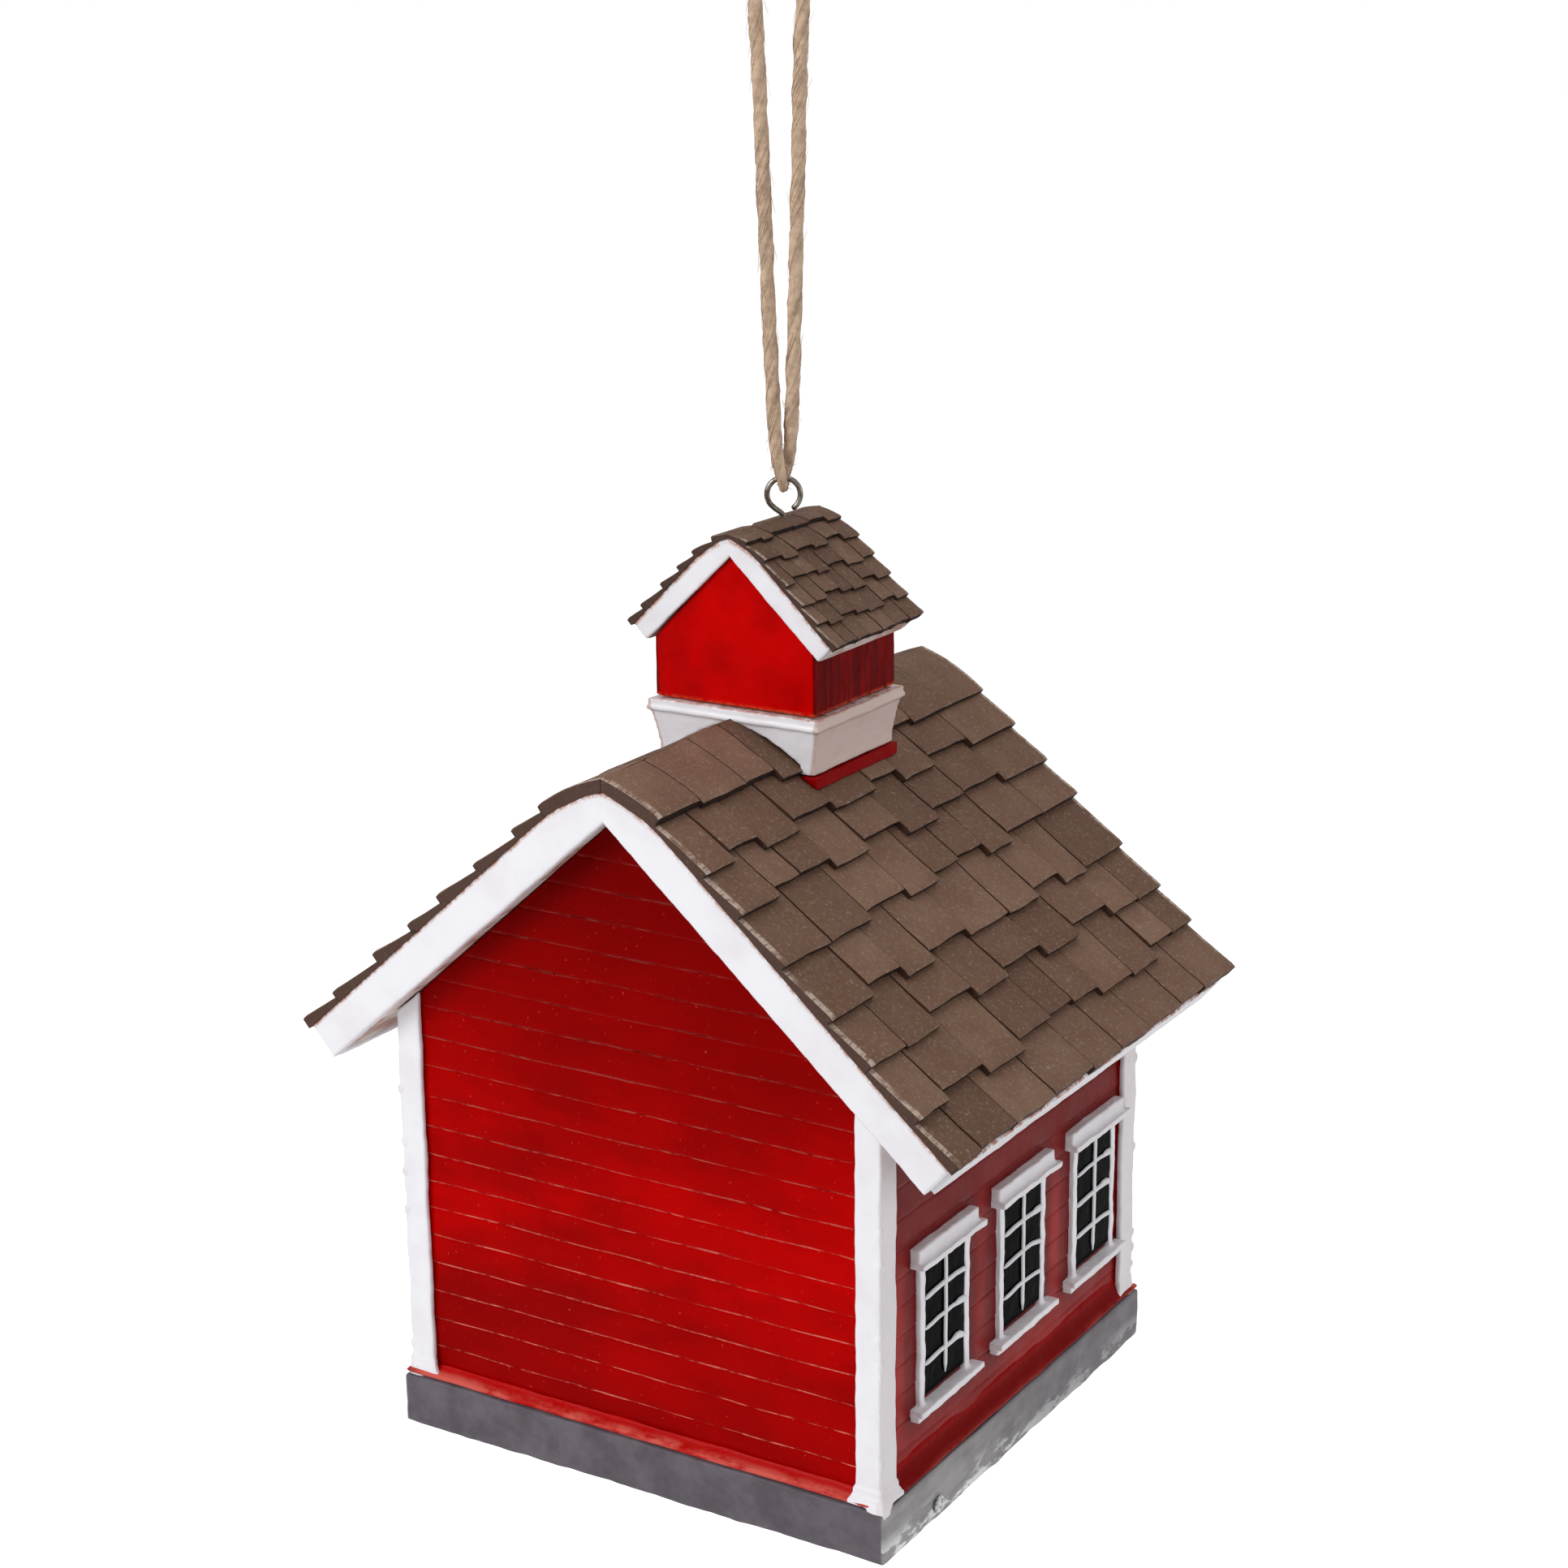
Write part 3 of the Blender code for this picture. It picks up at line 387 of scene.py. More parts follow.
TWINE_SIDES = 20
ROUND = range(TWINE_SIDES)
twine_points, twine_faces = swept(twine_line, [TWINE * s for s in twine_share], TWINE_SIDES, ply_reach)
# painted shade in the grooves between the plies, painted highlight on their crowns
twine_ply_shade = [0.25 + 0.55 * lobes(run, 2 * math.pi * k / TWINE_SIDES) for run in twine_run for k in ROUND]
for n, reach in ((0, -IN_KNOT), (len(twine_line) - 1, IN_KNOT)):
    ahead = carried_frames(twine_line)[n][0]
    for k in ROUND:      # the ends run on into the knot
        twine_points[n * TWINE_SIDES + k] += ahead * reach
jute_loop = add_piece("jute_twine", mesh_from("jute_twine", twine_points, twine_faces, {"lie": twine_ply_shade}),
                      jute, "jute_loop", body="twine")


def plain_mesh(obj):
    """The object's mesh as its modifiers leave it; the object itself is removed."""
    bpy.context.view_layer.update()
    evaluated = obj.evaluated_get(bpy.context.evaluated_depsgraph_get())
    mesh = bpy.data.meshes.new_from_object(evaluated)
    bpy.data.objects.remove(obj)
    return mesh


class Tree:
    """A Geometry Nodes tree under construction, with named inputs for its sizes."""

    def __init__(self, name, **sizes):
        self.tree = bpy.data.node_groups.new(name, "GeometryNodeTree")
        self.tree.interface.new_socket("Geometry", in_out="INPUT", socket_type="NodeSocketGeometry")
        self.tree.interface.new_socket("Geometry", in_out="OUTPUT", socket_type="NodeSocketGeometry")
        for size in sizes:
            self.tree.interface.new_socket(size.replace("_", " "), in_out="INPUT",
                                           socket_type="NodeSocketFloat")
        self.sizes = sizes
        self.start = self.tree.nodes.new("NodeGroupInput")
        self.end = self.tree.nodes.new("NodeGroupOutput")

    def node(self, kind, inputs=None, **settings):
        node = self.tree.nodes.new(kind)
        for setting, value in settings.items():
            setattr(node, setting, value)
        for socket, value in (inputs or {}).items():
            if isinstance(value, bpy.types.NodeSocket):
                self.tree.links.new(value, node.inputs[socket])
            else:
                node.inputs[socket].default_value = value
        return node

    def named(self, attribute, data_type="FLOAT"):
        return self.node("GeometryNodeInputNamedAttribute", {"Name": attribute},
                         data_type=data_type).outputs["Attribute"]

    def finish(self, geometry, material):
        """Instances are made real and get their material, which ends the tree."""
        real = self.node("GeometryNodeRealizeInstances", {"Geometry": geometry})
        coat = self.node("GeometryNodeSetMaterial",
                         {"Geometry": real.outputs["Geometry"], "Material": material})
        self.tree.links.new(coat.outputs["Geometry"], self.end.inputs["Geometry"])

    def grow(self, mesh):
        """The mesh that the tree makes from a mesh, with its sizes set."""
        obj = placed(mesh.name, mesh)
        modifier = obj.modifiers.new(self.tree.name, "NODES")
        modifier.node_group = self.tree
        for item in self.tree.interface.items_tree:
            key = item.name.replace(" ", "_")
            if item.in_out == "INPUT" and key in self.sizes:
                modifier[item.identifier] = float(self.sizes[key])
        return plain_mesh(obj)


def strands(name, lines, thickness, material, marks=None):
    """Thin strands swept along lines of points; each line has its own thickness share."""
    points, edges, shares, values = [], [], [], []
    for number, (line, share) in enumerate(lines):
        for n, point in enumerate(line):
            if n:
                edges.append((len(points) - 1, len(points)))
            points.append(spot(*point))
            shares.append(share * (0.35 if n in (0, len(line) - 1) else 1.0))
            values.append(marks[number] if marks else 1.0)
    mesh = bpy.data.meshes.new(name)
    mesh.from_pydata(points, edges, [])
    keep(mesh, "share", shares)
    keep(mesh, "lie", values)
    tree = Tree(name + "_tree", Strand_Radius=thickness * MM)
    curve = tree.node("GeometryNodeMeshToCurve", {"Mesh": tree.start.outputs["Geometry"]})
    sized = tree.node("GeometryNodeSetCurveRadius",
                      {"Curve": curve.outputs["Curve"], "Radius": tree.named("share")})
    outline = tree.node("GeometryNodeCurvePrimitiveCircle",
                        {"Resolution": 4, "Radius": tree.start.outputs["Strand Radius"]})
    skin = tree.node("GeometryNodeCurveToMesh",
                     {"Curve": sized.outputs["Curve"], "Profile Curve": outline.outputs["Curve"],
                      "Fill Caps": True, "Scale": tree.named("share")})
    tree.finish(skin.outputs["Mesh"], material)
    return tree.grow(mesh)


dice = random.Random(11)
twine_frames = carried_frames(twine_line)
fibre_lines, fibre_marks = [], []
for fibre in range(FIBRES + STRAYS):
    stray = fibre >= FIBRES
    first = dice.randrange(2, len(twine_line) - 10)
    count = dice.randint(5, 9) if stray else dice.randint(8, 18)
    angle = dice.uniform(0, 2 * math.pi)
    lay = dice.uniform(-0.9, 1.4) if stray else dice.uniform(0.7, 1.3)
    lift = dice.uniform(0.93, 1.05)
    rise = dice.uniform(0.5, 1.9) if stray else dice.uniform(-0.05, 0.12)
    line = []
    for n in range(first, min(first + count, len(twine_line))):
        share = (n - first) / count
        ahead, across, other = twine_frames[n]
        turn = angle + lay * (twist_at(n) - twist_at(first))
        reach = TWINE * twine_share[n] * ply_reach(n, turn) * lift
        reach += rise * share * share * TWINE * 0.6 if stray else rise * math.sin(share * math.pi)
        line.append(twine_line[n] + (across * math.cos(turn) + other * math.sin(turn)) * reach)
    if len(line) > 3:
        fibre_lines.append((line, dice.uniform(0.6, 1.5) * (0.6 if stray else 1.0)))
        fibre_marks.append(dice.uniform(0.2, 1.25))
add_piece("jute_fibres", strands("jute_fibres", fibre_lines, FIBRE_RADIUS, jute.material, fibre_marks),
          jute, body="twine", smooth=False)

knot_low, knot_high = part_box("loop_knot")
knot_half = (knot_high.z - knot_low.z) / 2 / MM
knot_centre = ((knot_low + knot_high) / 2 - HOUSE) / MM
KNOT_TURNS, KNOT_STEPS = 2.6, 90
knot_points = []
for n in range(KNOT_STEPS + 1):      # a coil wrapped tightly about the two strands
    share = n / KNOT_STEPS
    angle = 2 * math.pi * KNOT_TURNS * share
    reach = 1.35 + 0.9 * math.sin(share * math.pi)
    knot_points.append(knot_centre + Vector((reach * math.cos(angle), reach * math.sin(angle),
                                             (share - 0.5) * (2 * knot_half - 1.9 * TWINE))))
knot_run = path_lengths(knot_points)


knot_verts, knot_faces = swept(knot_points, [TWINE] * len(knot_points), TWINE_SIDES,
                               lambda n, angle: 0.84 + 0.13 * lobes(knot_run[n], angle))
tail_start = knot_centre + Vector((1.2, 0.6, knot_half - 3.0))
tail_line = [tail_start + Vector((1.2 * t, 0.9 * t, 1.8 * t)) * 2.6 for t in (0.0, 0.25, 0.5, 0.75, 1.0)]
tail_verts, tail_faces = swept(tail_line, [TWINE * r for r in (0.9, 0.9, 0.92, 0.95, 1.0)], TWINE_SIDES)
offset = len(knot_verts)
knot_verts += tail_verts
knot_faces += [tuple(i + offset for i in face) for face in tail_faces]
knot = add_piece("overhand_knot",
                 mesh_from("overhand_knot", knot_verts, knot_faces, {"lie": [0.6] * len(knot_verts)}),
                 jute, "loop_knot", body="twine")

# ------------------------------------------------------------ screw eye
# A nickel-plated steel wire eye, bent to a pear shape with its end closed against the neck, and
# screwed into the cupola's ridge after painting. Brown roof paint has crept up its foot.
EYE_TURNS = 72
EYE_SHANK = 16.0
NECK_DROP = 1.06

steel = Finish("eye_steel", "eye_steel", tone(150, 142, 134), 0.3, Metallic=1.0)
steel.over(steel.patches(1.6, 0.4, 0.7, detail=4.0, harsh=0.6), tone(84, 72, 62))
steel.gloss(0.9, 0.22, 0.48)
steel.bump(steel.grain(0.35, 2.0), 0.02)

eye_path = [(0, 0, -EYE_SHANK), (0, 0, -EYE_RING * 1.7), (0, 0, -EYE_RING * 1.4), (-0.1, 0, -EYE_RING * 1.25),
            (-EYE_RING * 0.23, 0, -EYE_RING * NECK_DROP), (-EYE_RING * 0.52, 0, -EYE_RING * 0.86)]
ring_start, ring_stop = math.radians(219), math.radians(-60)
for n in range(EYE_TURNS + 1):
    angle = ring_start + (ring_stop - ring_start) * n / EYE_TURNS
    eye_path.append((EYE_RING * math.cos(angle), 0, EYE_RING * math.sin(angle)))
eye_line = [off_eye(EYE_HEIGHT, *point) for point in eye_path]
eye_radii = [EYE_WIRE] * (len(eye_line) - 2) + [EYE_WIRE * 0.92, EYE_WIRE * 0.6]
eye_points, eye_faces = swept(eye_line, eye_radii, 18)
add_piece("wire_eye", mesh_from("wire_eye", eye_points, eye_faces), steel, "screw_eye")

# ------------------------------------------------------------ roof shingles, main roof and cupola
# Each slope is cast with courses of wedge-shaped shingles, thick at their lower butts, with odd
# widths and alternately longer and shorter. They are matte brown, rubbed pale along the verges.
SIDES = (("left", -1), ("right", 1))
ENDS = (("front", -1), ("rear", 1))
PITCH = math.radians(41.5)
CUPOLA_PITCH = math.radians(44.4)


class Slope:
    """The upper edge of the boards under a slope's shingles, softened at the ridge."""

    def __init__(self, board, pitch, soft_x, soft_drop, middle_y):
        low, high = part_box(board)
        self.pitch = pitch
        self.fall = math.tan(pitch)
        self.soft_x = soft_x
        self.ridge = (high.z - HOUSE.z) / MM
        self.ridge_fall = self.fall - 2 * soft_drop / soft_x
        self.eave_x = (high.x - HOUSE.x) / MM
        self.middle_y = middle_y

    def top(self, x, lift):
        """A point lifted square to the surface, over a run x from the ridge."""
        if x < self.soft_x:
            fall = self.ridge_fall + (self.fall - self.ridge_fall) * max(x, 0.0) / self.soft_x
            z = self.ridge - (self.ridge_fall + fall) / 2 * x
        else:
            fall = self.fall
            z = self.ridge - (self.ridge_fall + fall) / 2 * self.soft_x - fall * (x - self.soft_x)
        lean = fall * min(max(x, 0.0) / self.soft_x, 1.0)
        length = math.hypot(1.0, lean)
        return x + lift * lean / length, z + lift / length


def mesh_of(data, name):
    """The mesh of a bmesh that is done with."""
    mesh = bpy.data.meshes.new(name)
    data.to_mesh(mesh)
    data.free()
    return mesh


def shingle_blank():
    """One shingle: 0 to 1 down the slope, -0.5 to 0.5 across, 0 to 1 up to the butt's top."""
    runs = (0.0, 0.2, 0.4, 0.6, 0.78, 0.92, 0.975, 1.0)
    across = (-0.5, -0.485, -0.45, -0.25, 0.0, 0.25, 0.45, 0.485, 0.5)
    data = bmesh.new()
    wear = data.verts.layers.float.new("wear")
    face = data.verts.layers.float.new("face")
    rows = []
    for u in runs:
        row = []
        for v in across:
            edge = min(0.5 - abs(v), 0.05) / 0.05
            butt = min(1.0 - u, 0.08) / 0.08
            drop = 0.10 * (1 - edge) ** 2 + 0.10 * (1 - butt) ** 2
            vert = data.verts.new((u, v, 0.22 + 0.78 * u ** 1.15 - drop * (0.4 + 0.6 * u)))
            # the top is marked towards the butt's lip, for a painted highlight
            vert[wear] = 1 - butt
            vert[face] = 1.0
            row.append(vert)
        rows.append(row)
    for first, second in zip(rows, rows[1:]):
        for n in range(len(across) - 1):
            data.faces.new((first[n], second[n], second[n + 1], first[n + 1]))
    rim = rows[0] + [row[-1] for row in rows[1:]] + rows[-1][-2::-1] + [row[0] for row in rows[-2:0:-1]]
    above = [data.verts.new(v.co) for v in rim]
    below = [data.verts.new((v.co.x, v.co.y, -0.1)) for v in rim]
    for vert in above + below:
        # on the side walls the butt's own face is marked, for near-black painted shade
        vert[wear] = 1.0 if vert.co.x > 0.99 else 0.0
    for n in range(len(rim)):
        m = (n + 1) % len(rim)
        data.faces.new((above[m], above[n], below[n], below[m]))
    data.faces.new(below)
    return bpy.data.objects.new("shingle_blank", mesh_of(data, "shingle_blank"))


SHINGLE_BLANK = shingle_blank()


def lay_courses(name, butts, reach, widths, stagger, joint, butt_height, overlap, dice, finish):
    """Points for every shingle of one slope, then the tree puts a shingle on each."""
    places, sizes, tints, crowns = [], [], [], []
    start = 0.0
    for course, butt in enumerate(butts):
        edges = [-reach]
        while edges[-1] < reach - widths[0]:
            edges.append(min(edges[-1] + dice.uniform(*widths), reach))
        if reach - edges[-1] > 0:
            edges[-1] = reach
        longer = dice.random() < 0.5
        for left, right_edge in zip(edges, edges[1:]):
            longer = not longer if dice.random() < 0.72 else longer
            over = stagger * (dice.uniform(0.35, 1.0) if longer else -dice.uniform(0.35, 1.0))
            if course == len(butts) - 1:
                over *= 0.2
            top = start - overlap if course else 0.0
            places.append((top, (left + right_edge) / 2, 0.0))
            sizes.append((butt + over - top, right_edge - left - joint,
                          butt_height * dice.uniform(0.92, 1.08)))
            tints.append(dice.random())
            crowns.append(0.0 if course else 1.0)
        start = butt
    mesh = bpy.data.meshes.new(name)
    mesh.from_pydata(places, [], [])
    mesh.attributes.new("size", "FLOAT_VECTOR", "POINT").data.foreach_set(
        "vector", [length for size in sizes for length in size])
    keep(mesh, "tint_of", tints)
    keep(mesh, "crown_of", crowns)
    tree = Tree(name + "_tree", Shingle_Scale=1.0)
    blank = tree.node("GeometryNodeObjectInfo", {"Object": SHINGLE_BLANK})
    size = tree.node("ShaderNodeVectorMath", {0: tree.named("size", "FLOAT_VECTOR")}, operation="SCALE")
    tree.tree.links.new(tree.start.outputs["Shingle Scale"], size.inputs["Scale"])
    laid = tree.node("GeometryNodeInstanceOnPoints",
                     {"Points": tree.start.outputs["Geometry"], "Instance": blank.outputs["Geometry"],
                      "Scale": size.outputs["Vector"]})
    told = laid.outputs["Instances"]
    for name_on_mesh in ("tint", "crown"):
        told = tree.node("GeometryNodeStoreNamedAttribute",
                         {"Geometry": told, "Name": name_on_mesh, "Value": tree.named(name_on_mesh + "_of")},
                         data_type="FLOAT", domain="INSTANCE").outputs["Geometry"]
    tree.finish(told, finish.material)
    return tree.grow(mesh)


noise.seed_set(11)      # the same wandering edges every time


def eased(value, low, high):
    share = min(max((value - low) / (high - low), 0.0), 1.0)
    return share * share * (3 - 2 * share)


def bend_onto(mesh, slope, side, wander, wander_size, heights, climb=0.0):
    """Bends courses laid flat onto one slope, and gives them a hand-cut unevenness. The ridge
    may climb a little, and sharpen, towards the cupola."""
    ridge, butt, top_course = heights
    crown = mesh.attributes["crown"].data
    for vert in mesh.vertices:
        x, y, lift = vert.co
        if lift > 0 and crown[vert.index].value > 0.5:
            lift += (ridge - 0.3 * butt) * max(1 - x / top_course, 0.0)
            lift += climb * (1 - eased(abs(y), 18.0, 74.0)) * max(1 - x / 9.0, 0.0)
        swing = noise.noise_vector((x / wander_size, y / wander_size, side * 9.0 + slope.pitch))
        x = max(x + swing.x * wander, -0.1)
        at_x, at_z = slope.top(x, max(lift, -0.25) + swing.z * wander * 0.35)
        vert.co = spot(side * at_x, slope.middle_y + y + swing.y * wander * 0.6, at_z)
    if side < 0:
        mesh.flip_normals()
    mesh.update()


def roof_brown(name, verge_y, reach, coarse, shade=1.0):
    """Matte brown with dusty pale specks, painted shade on the sides and under the butts, a painted highlight on
    each butt's lip, and a pale rubbed strip along the verges.
    """
    finish = Finish(name, "shingle_brown", tone(92, 66, 50), 0.72, Specular_IOR_Level=0.3)
    finish.over(finish.mark("tint"), tone(120, 92, 74))
    finish.over(finish.times(finish.patches(16 * coarse, 0.3, 0.7, detail=4.0, harsh=0.6), 0.5),
                tone(92, 62, 48))
    dust = finish.patches(0.9, 0.53, 0.70, 0.0, 0.55, 5.0, 0.85)
    finish.over(dust, tone(182, 160, 142))
    # painted highlight along the lip of each butt
    finish.over(finish.times(finish.band(finish.mark("wear"), 0.5, 1.0),
                             finish.patches(3.0, 0.48, 0.66, 0.0, 0.35, 4.0, 0.7)), tone(160, 138, 122))
    verge = finish.band(finish.unsigned(finish.along("Y", (0, verge_y, 0))),
                        reach - 1.9 * coarse, reach - 1.6 * coarse)
    finish.over(finish.times(verge, finish.patches(0.7, 0.34, 0.56, 0.15, 0.9, 3.0, 0.6, (1, 5, 1)),
                             finish.patches(6.0 * coarse, 0.40, 0.52, 0.1, 1.0, 3.0, 0.6)),
                tone(176, 158, 145))
    # painted shade: the side walls darker than the top, the butt faces near black
    side = finish.mix(finish.mark("wear"), tone(76, 54, 44), tone(36, 23, 18))
    side = finish.mix(finish.times(dust, 0.6), side, tone(130, 108, 94))
    finish.colour = finish.mix(finish.mark("face"), side, finish.colour)
    # painted shade over the whole roof where shade is below 1
    finish.over(1.0 - shade, tone(0, 0, 0))
    finish.gloss(5.0, 0.52, 0.74)
    finish.bump(finish.grain(0.8, 5.0, 0.75), 0.20)
    return finish


TOP_COURSE, BUTT = 16.0, 3.25
COURSE_SHARES = (0.91, 0.89, 1.02, 1.12, 0.94, 1.09, 1.03)
SHINGLE_OUT = 0.5


def shingle_roof(piece, node, paint_name, slope, top_course, shares, middle_y, coarse, shade, seed, laid, bent):
    """Both slopes of a roof; shares are the relative exposures of the courses below the top one."""
    low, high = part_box(node + "_right")
    reach = (high.y - low.y) / 2 / MM
    run = (slope.eave_x + SHINGLE_OUT - top_course) / sum(shares)
    butts = [top_course + run * sum(shares[:n]) for n in range(len(shares) + 1)]
    paint = roof_brown(paint_name, middle_y, reach, coarse, shade)
    for side_name, side in SIDES:
        courses = lay_courses(f"{piece}_courses_{side_name}", butts, reach, dice=random.Random(seed + side),
                              finish=paint, **laid)
        bend_onto(courses, slope, side, **bent)
        add_piece(f"{piece}_{side_name}", courses, paint, f"{node}_{side_name}", smooth=False)


# half width and drop of the ridge's rounding close each slope
main_slope = Slope("barge_board_front_right", PITCH, 20.0, 6.4, 0.0)
shingle_roof("roof_shingles", "shingles", "roof_brown", main_slope, TOP_COURSE, COURSE_SHARES,
             middle_y=0.0, coarse=1.0, shade=1.0, seed=23,
             laid=dict(widths=(11.5, 20.5), stagger=1.6, joint=0.36, butt_height=BUTT, overlap=2.5),
             bent=dict(wander=0.28, wander_size=7.0, heights=(3.3, BUTT, TOP_COURSE), climb=1.5))

CUPOLA_Y = 0.8
CUPOLA_TOP_COURSE, CUPOLA_BUTT = 5.2, 1.9
small_slope = Slope("cupola_barge_front_right", CUPOLA_PITCH, 10.8, 3.7, CUPOLA_Y)
shingle_roof("cupola_shingle_layer", "cupola_shingles", "cupola_brown", small_slope, CUPOLA_TOP_COURSE, (1,) * 5,
             middle_y=CUPOLA_Y, coarse=0.5, shade=0.86, seed=41,
             laid=dict(widths=(4.6, 8.2), stagger=0.75, joint=0.22, butt_height=CUPOLA_BUTT, overlap=1.4),
             bent=dict(wander=0.22, wander_size=3.4, heights=(1.0, CUPOLA_BUTT, CUPOLA_TOP_COURSE)))

# The decks under both roofs are cast with the slopes and brushed a thin, streaky cream from below.
soffit_paint = Finish("soffit_cream", None, tone(222, 212, 208), 0.6, Specular_IOR_Level=0.3)
soffit_paint.over(soffit_paint.patches(7.0, 0.42, 0.62, detail=4.0, harsh=0.7, stretch=(1, 3, 1)),
                  tone(176, 132, 116))
soffit_paint.bump(soffit_paint.grain(2.0, 4.0, 0.6, stretch=(1, 4, 1)), 0.2)
for node in ("roof_panel_left", "roof_panel_right", "cupola_deck"):
    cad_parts[node].data.materials.clear()
    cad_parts[node].data.materials.append(soffit_paint.material)

# ------------------------------------------------------------ white trim of the roofs
# Barge boards and eave edges are cast with the roof and painted white by hand, so their edges
# wander a little and the brown of the roof shows as a rusty line along their upper edge.


def casting(node, voxel, easing, wander, wander_size, extra=(), past=0.0, keep=True):
    """A CAD node as it leaves the mould: one skin with softened edges and slightly wandering faces.
    Sizes are in millimetres; extra boxes (x0, x1, y0, y1, z0, z1) grow out of it, or stand in for
    it, and its end at the ridge may run past the middle into its neighbour."""
    data = bmesh.new()
    if keep:
        data.from_mesh(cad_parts[node].data)
    bmesh.ops.remove_doubles(data, verts=data.verts, dist=1e-6)
    if past:
        outward = math.copysign(1.0, sum(vert.co.x for vert in data.verts))
        for vert in data.verts:
            if abs(vert.co.x) < 0.5 * MM:
                vert.co += Vector((-outward * past, 0.0, -0.2 * past)) * MM
    for x0, x1, y0, y1, z0, z1 in extra:
        box = bmesh.ops.create_cube(data, size=1.0)["verts"]
        for vert in box:
            vert.co = spot((x0, x1)[vert.co.x > 0], (y0, y1)[vert.co.y > 0], (z0, z1)[vert.co.z > 0])
    obj = placed(node + "_cast", mesh_of(data, node + "_cast"))
    skin = obj.modifiers.new("skin", "REMESH")
    skin.mode = "VOXEL"
    skin.voxel_size = voxel * MM
    ease = obj.modifiers.new("ease", "SMOOTH")
    ease.factor = 0.5
    ease.iterations = easing
    cast = plain_mesh(obj)
    for vert in cast.vertices:
        here = vert.co / (wander_size * MM)
        swing = noise.noise_vector(here) + 0.45 * noise.noise_vector(here * 2.7)
        vert.co += swing * (wander * MM)
    cast.update()
    return cast


def mark_points(mesh, name, value):
    """Keeps value(point in house millimetres) on each of the mesh's points."""
    keep(mesh, name, [value((vert.co - HOUSE) / MM) for vert in mesh.vertices])


trim_white = Finish("trim_white", "white_paint", tone(236, 235, 240), 0.42, Specular_IOR_Level=0.4)
trim_white.over(trim_white.patches(11.0, 0.38, 0.75, 0.0, 0.4), tone(220, 214, 219))
trim_white.over(trim_white.mark("shade"), tone(196, 172, 162))
rusty = trim_white.mark("rust")
trim_white.over(trim_white.times(rusty, trim_white.patches(2.2, 0.36, 0.6, detail=4.0, harsh=0.7)),
                tone(176, 112, 84))
trim_white.over(trim_white.times(rusty, trim_white.patches(5.0, 0.58, 0.64, detail=5.0, harsh=0.8)),
                tone(84, 44, 40))
trim_white.gloss(6.0, 0.34, 0.52)
trim_white.bump(trim_white.grain(1.6, 4.0, 0.55, stretch=(1, 1, 2.5)), 0.10)

EAVE_PROUD = 1.2
for side_name, side in SIDES:
    for end_name in ("front", "rear"):
        for node, slope, voxel, wander in (
                (f"barge_board_{end_name}_{side_name}", main_slope, 0.5, 0.17),
                (f"cupola_barge_{end_name}_{side_name}", small_slope, 0.32, 0.14)):
            board = casting(node, voxel, 3, wander, 12.0 if slope is main_slope else 6.0, past=0.9)

            def rust(p, slope=slope):
                x = abs(p.x)
                below = (slope.top(x, 0.0)[1] - p.z) * math.cos(slope.pitch)
                return 1.0 - eased(below, 0.45, 1.35)

            mark_points(board, "rust", rust)
            add_piece(node.replace("board", "trim").replace("cupola_barge", "cupola_trim"), board,
                      trim_white, node)
    node = f"eave_fascia_{side_name}"
    eave = casting(node, 0.5, 2, 0.16, 7.0)
    down_slope = Vector((side * math.cos(main_slope.pitch), 0.0, -math.sin(main_slope.pitch)))
    reaches = [vert.co.dot(down_slope) for vert in eave.vertices]
    halfway = (min(reaches) + max(reaches)) / 2
    for vert, reach in zip(eave.vertices, reaches):
        if reach > halfway:
            vert.co += down_slope * (EAVE_PROUD * MM)
    mark_points(eave, "rust", lambda p: 1.0 - eased(main_slope.top(abs(p.x), 0.0)[1] - p.z, 0.2, 0.8))
    add_piece(f"eave_edge_{side_name}", eave, trim_white, node)

# ------------------------------------------------------------ cupola body, skirt and curb
# The cupola stands across the ridge: a plain glossy red body without siding, a white moulded skirt
# below it, cut to the roof, and a red strip where the skirt meets the shingles.
cupola_red = Finish("cupola_red", "red_paint", tone(198, 1, 1), 0.3, Specular_IOR_Level=0.03)
cupola_across, cupola_height = cupola_red.along("X"), cupola_red.along("Z")
cupola_red.over(cupola_red.patches(14.0, 0.35, 0.7), tone(168, 1, 2))
# painted shade: the cupola's side faces are darker, in fine vertical streaks
cupola_red.over(cupola_red.times(cupola_red.band(cupola_red.unsigned(cupola_across), 22.0, 22.9),
                                 cupola_red.patches(1.4, 0.35, 0.65, 0.75, 1.0, 4.0, 0.6, (1, 1, 9))),
                tone(88, 3, 7))
cupola_red.over(cupola_red.times(cupola_red.band(cupola_across, -20.0, -22.4),
                                 cupola_red.patches(1.6, 0.44, 0.60, 0.0, 1.0, 5.0, 0.75, (1, 1, 4)), 0.75),
                tone(92, 24, 20))
# painted shade low on the body, where the skirt stands round it
cupola_red.over(cupola_red.band(cupola_height, 188.0, 187.0), tone(132, 8, 12))
cupola_red.over(cupola_red.times(cupola_red.band(cupola_height, 191.0, 189.8),
                                 cupola_red.patches(1.8, 0.40, 0.54, detail=5.0, harsh=0.8),
                                 cupola_red.band(cupola_height, 187.0, 188.0)), tone(206, 78, 48))
cupola_red.gloss(4.0, 0.24, 0.40)
cupola_red.bump(cupola_red.grain(3.5, 3.0, 0.5, stretch=(1, 1, 2)), 0.10)
add_piece("cupola_walls", casting("cupola_body", 0.5, 2, 0.14, 9.0), cupola_red, "cupola_body")
for side_name, side in SIDES:
    add_piece(f"cupola_kerb_{side_name}", casting(f"cupola_curb_{side_name}", 0.35, 2, 0.14, 5.0),
              cupola_red, f"cupola_curb_{side_name}")

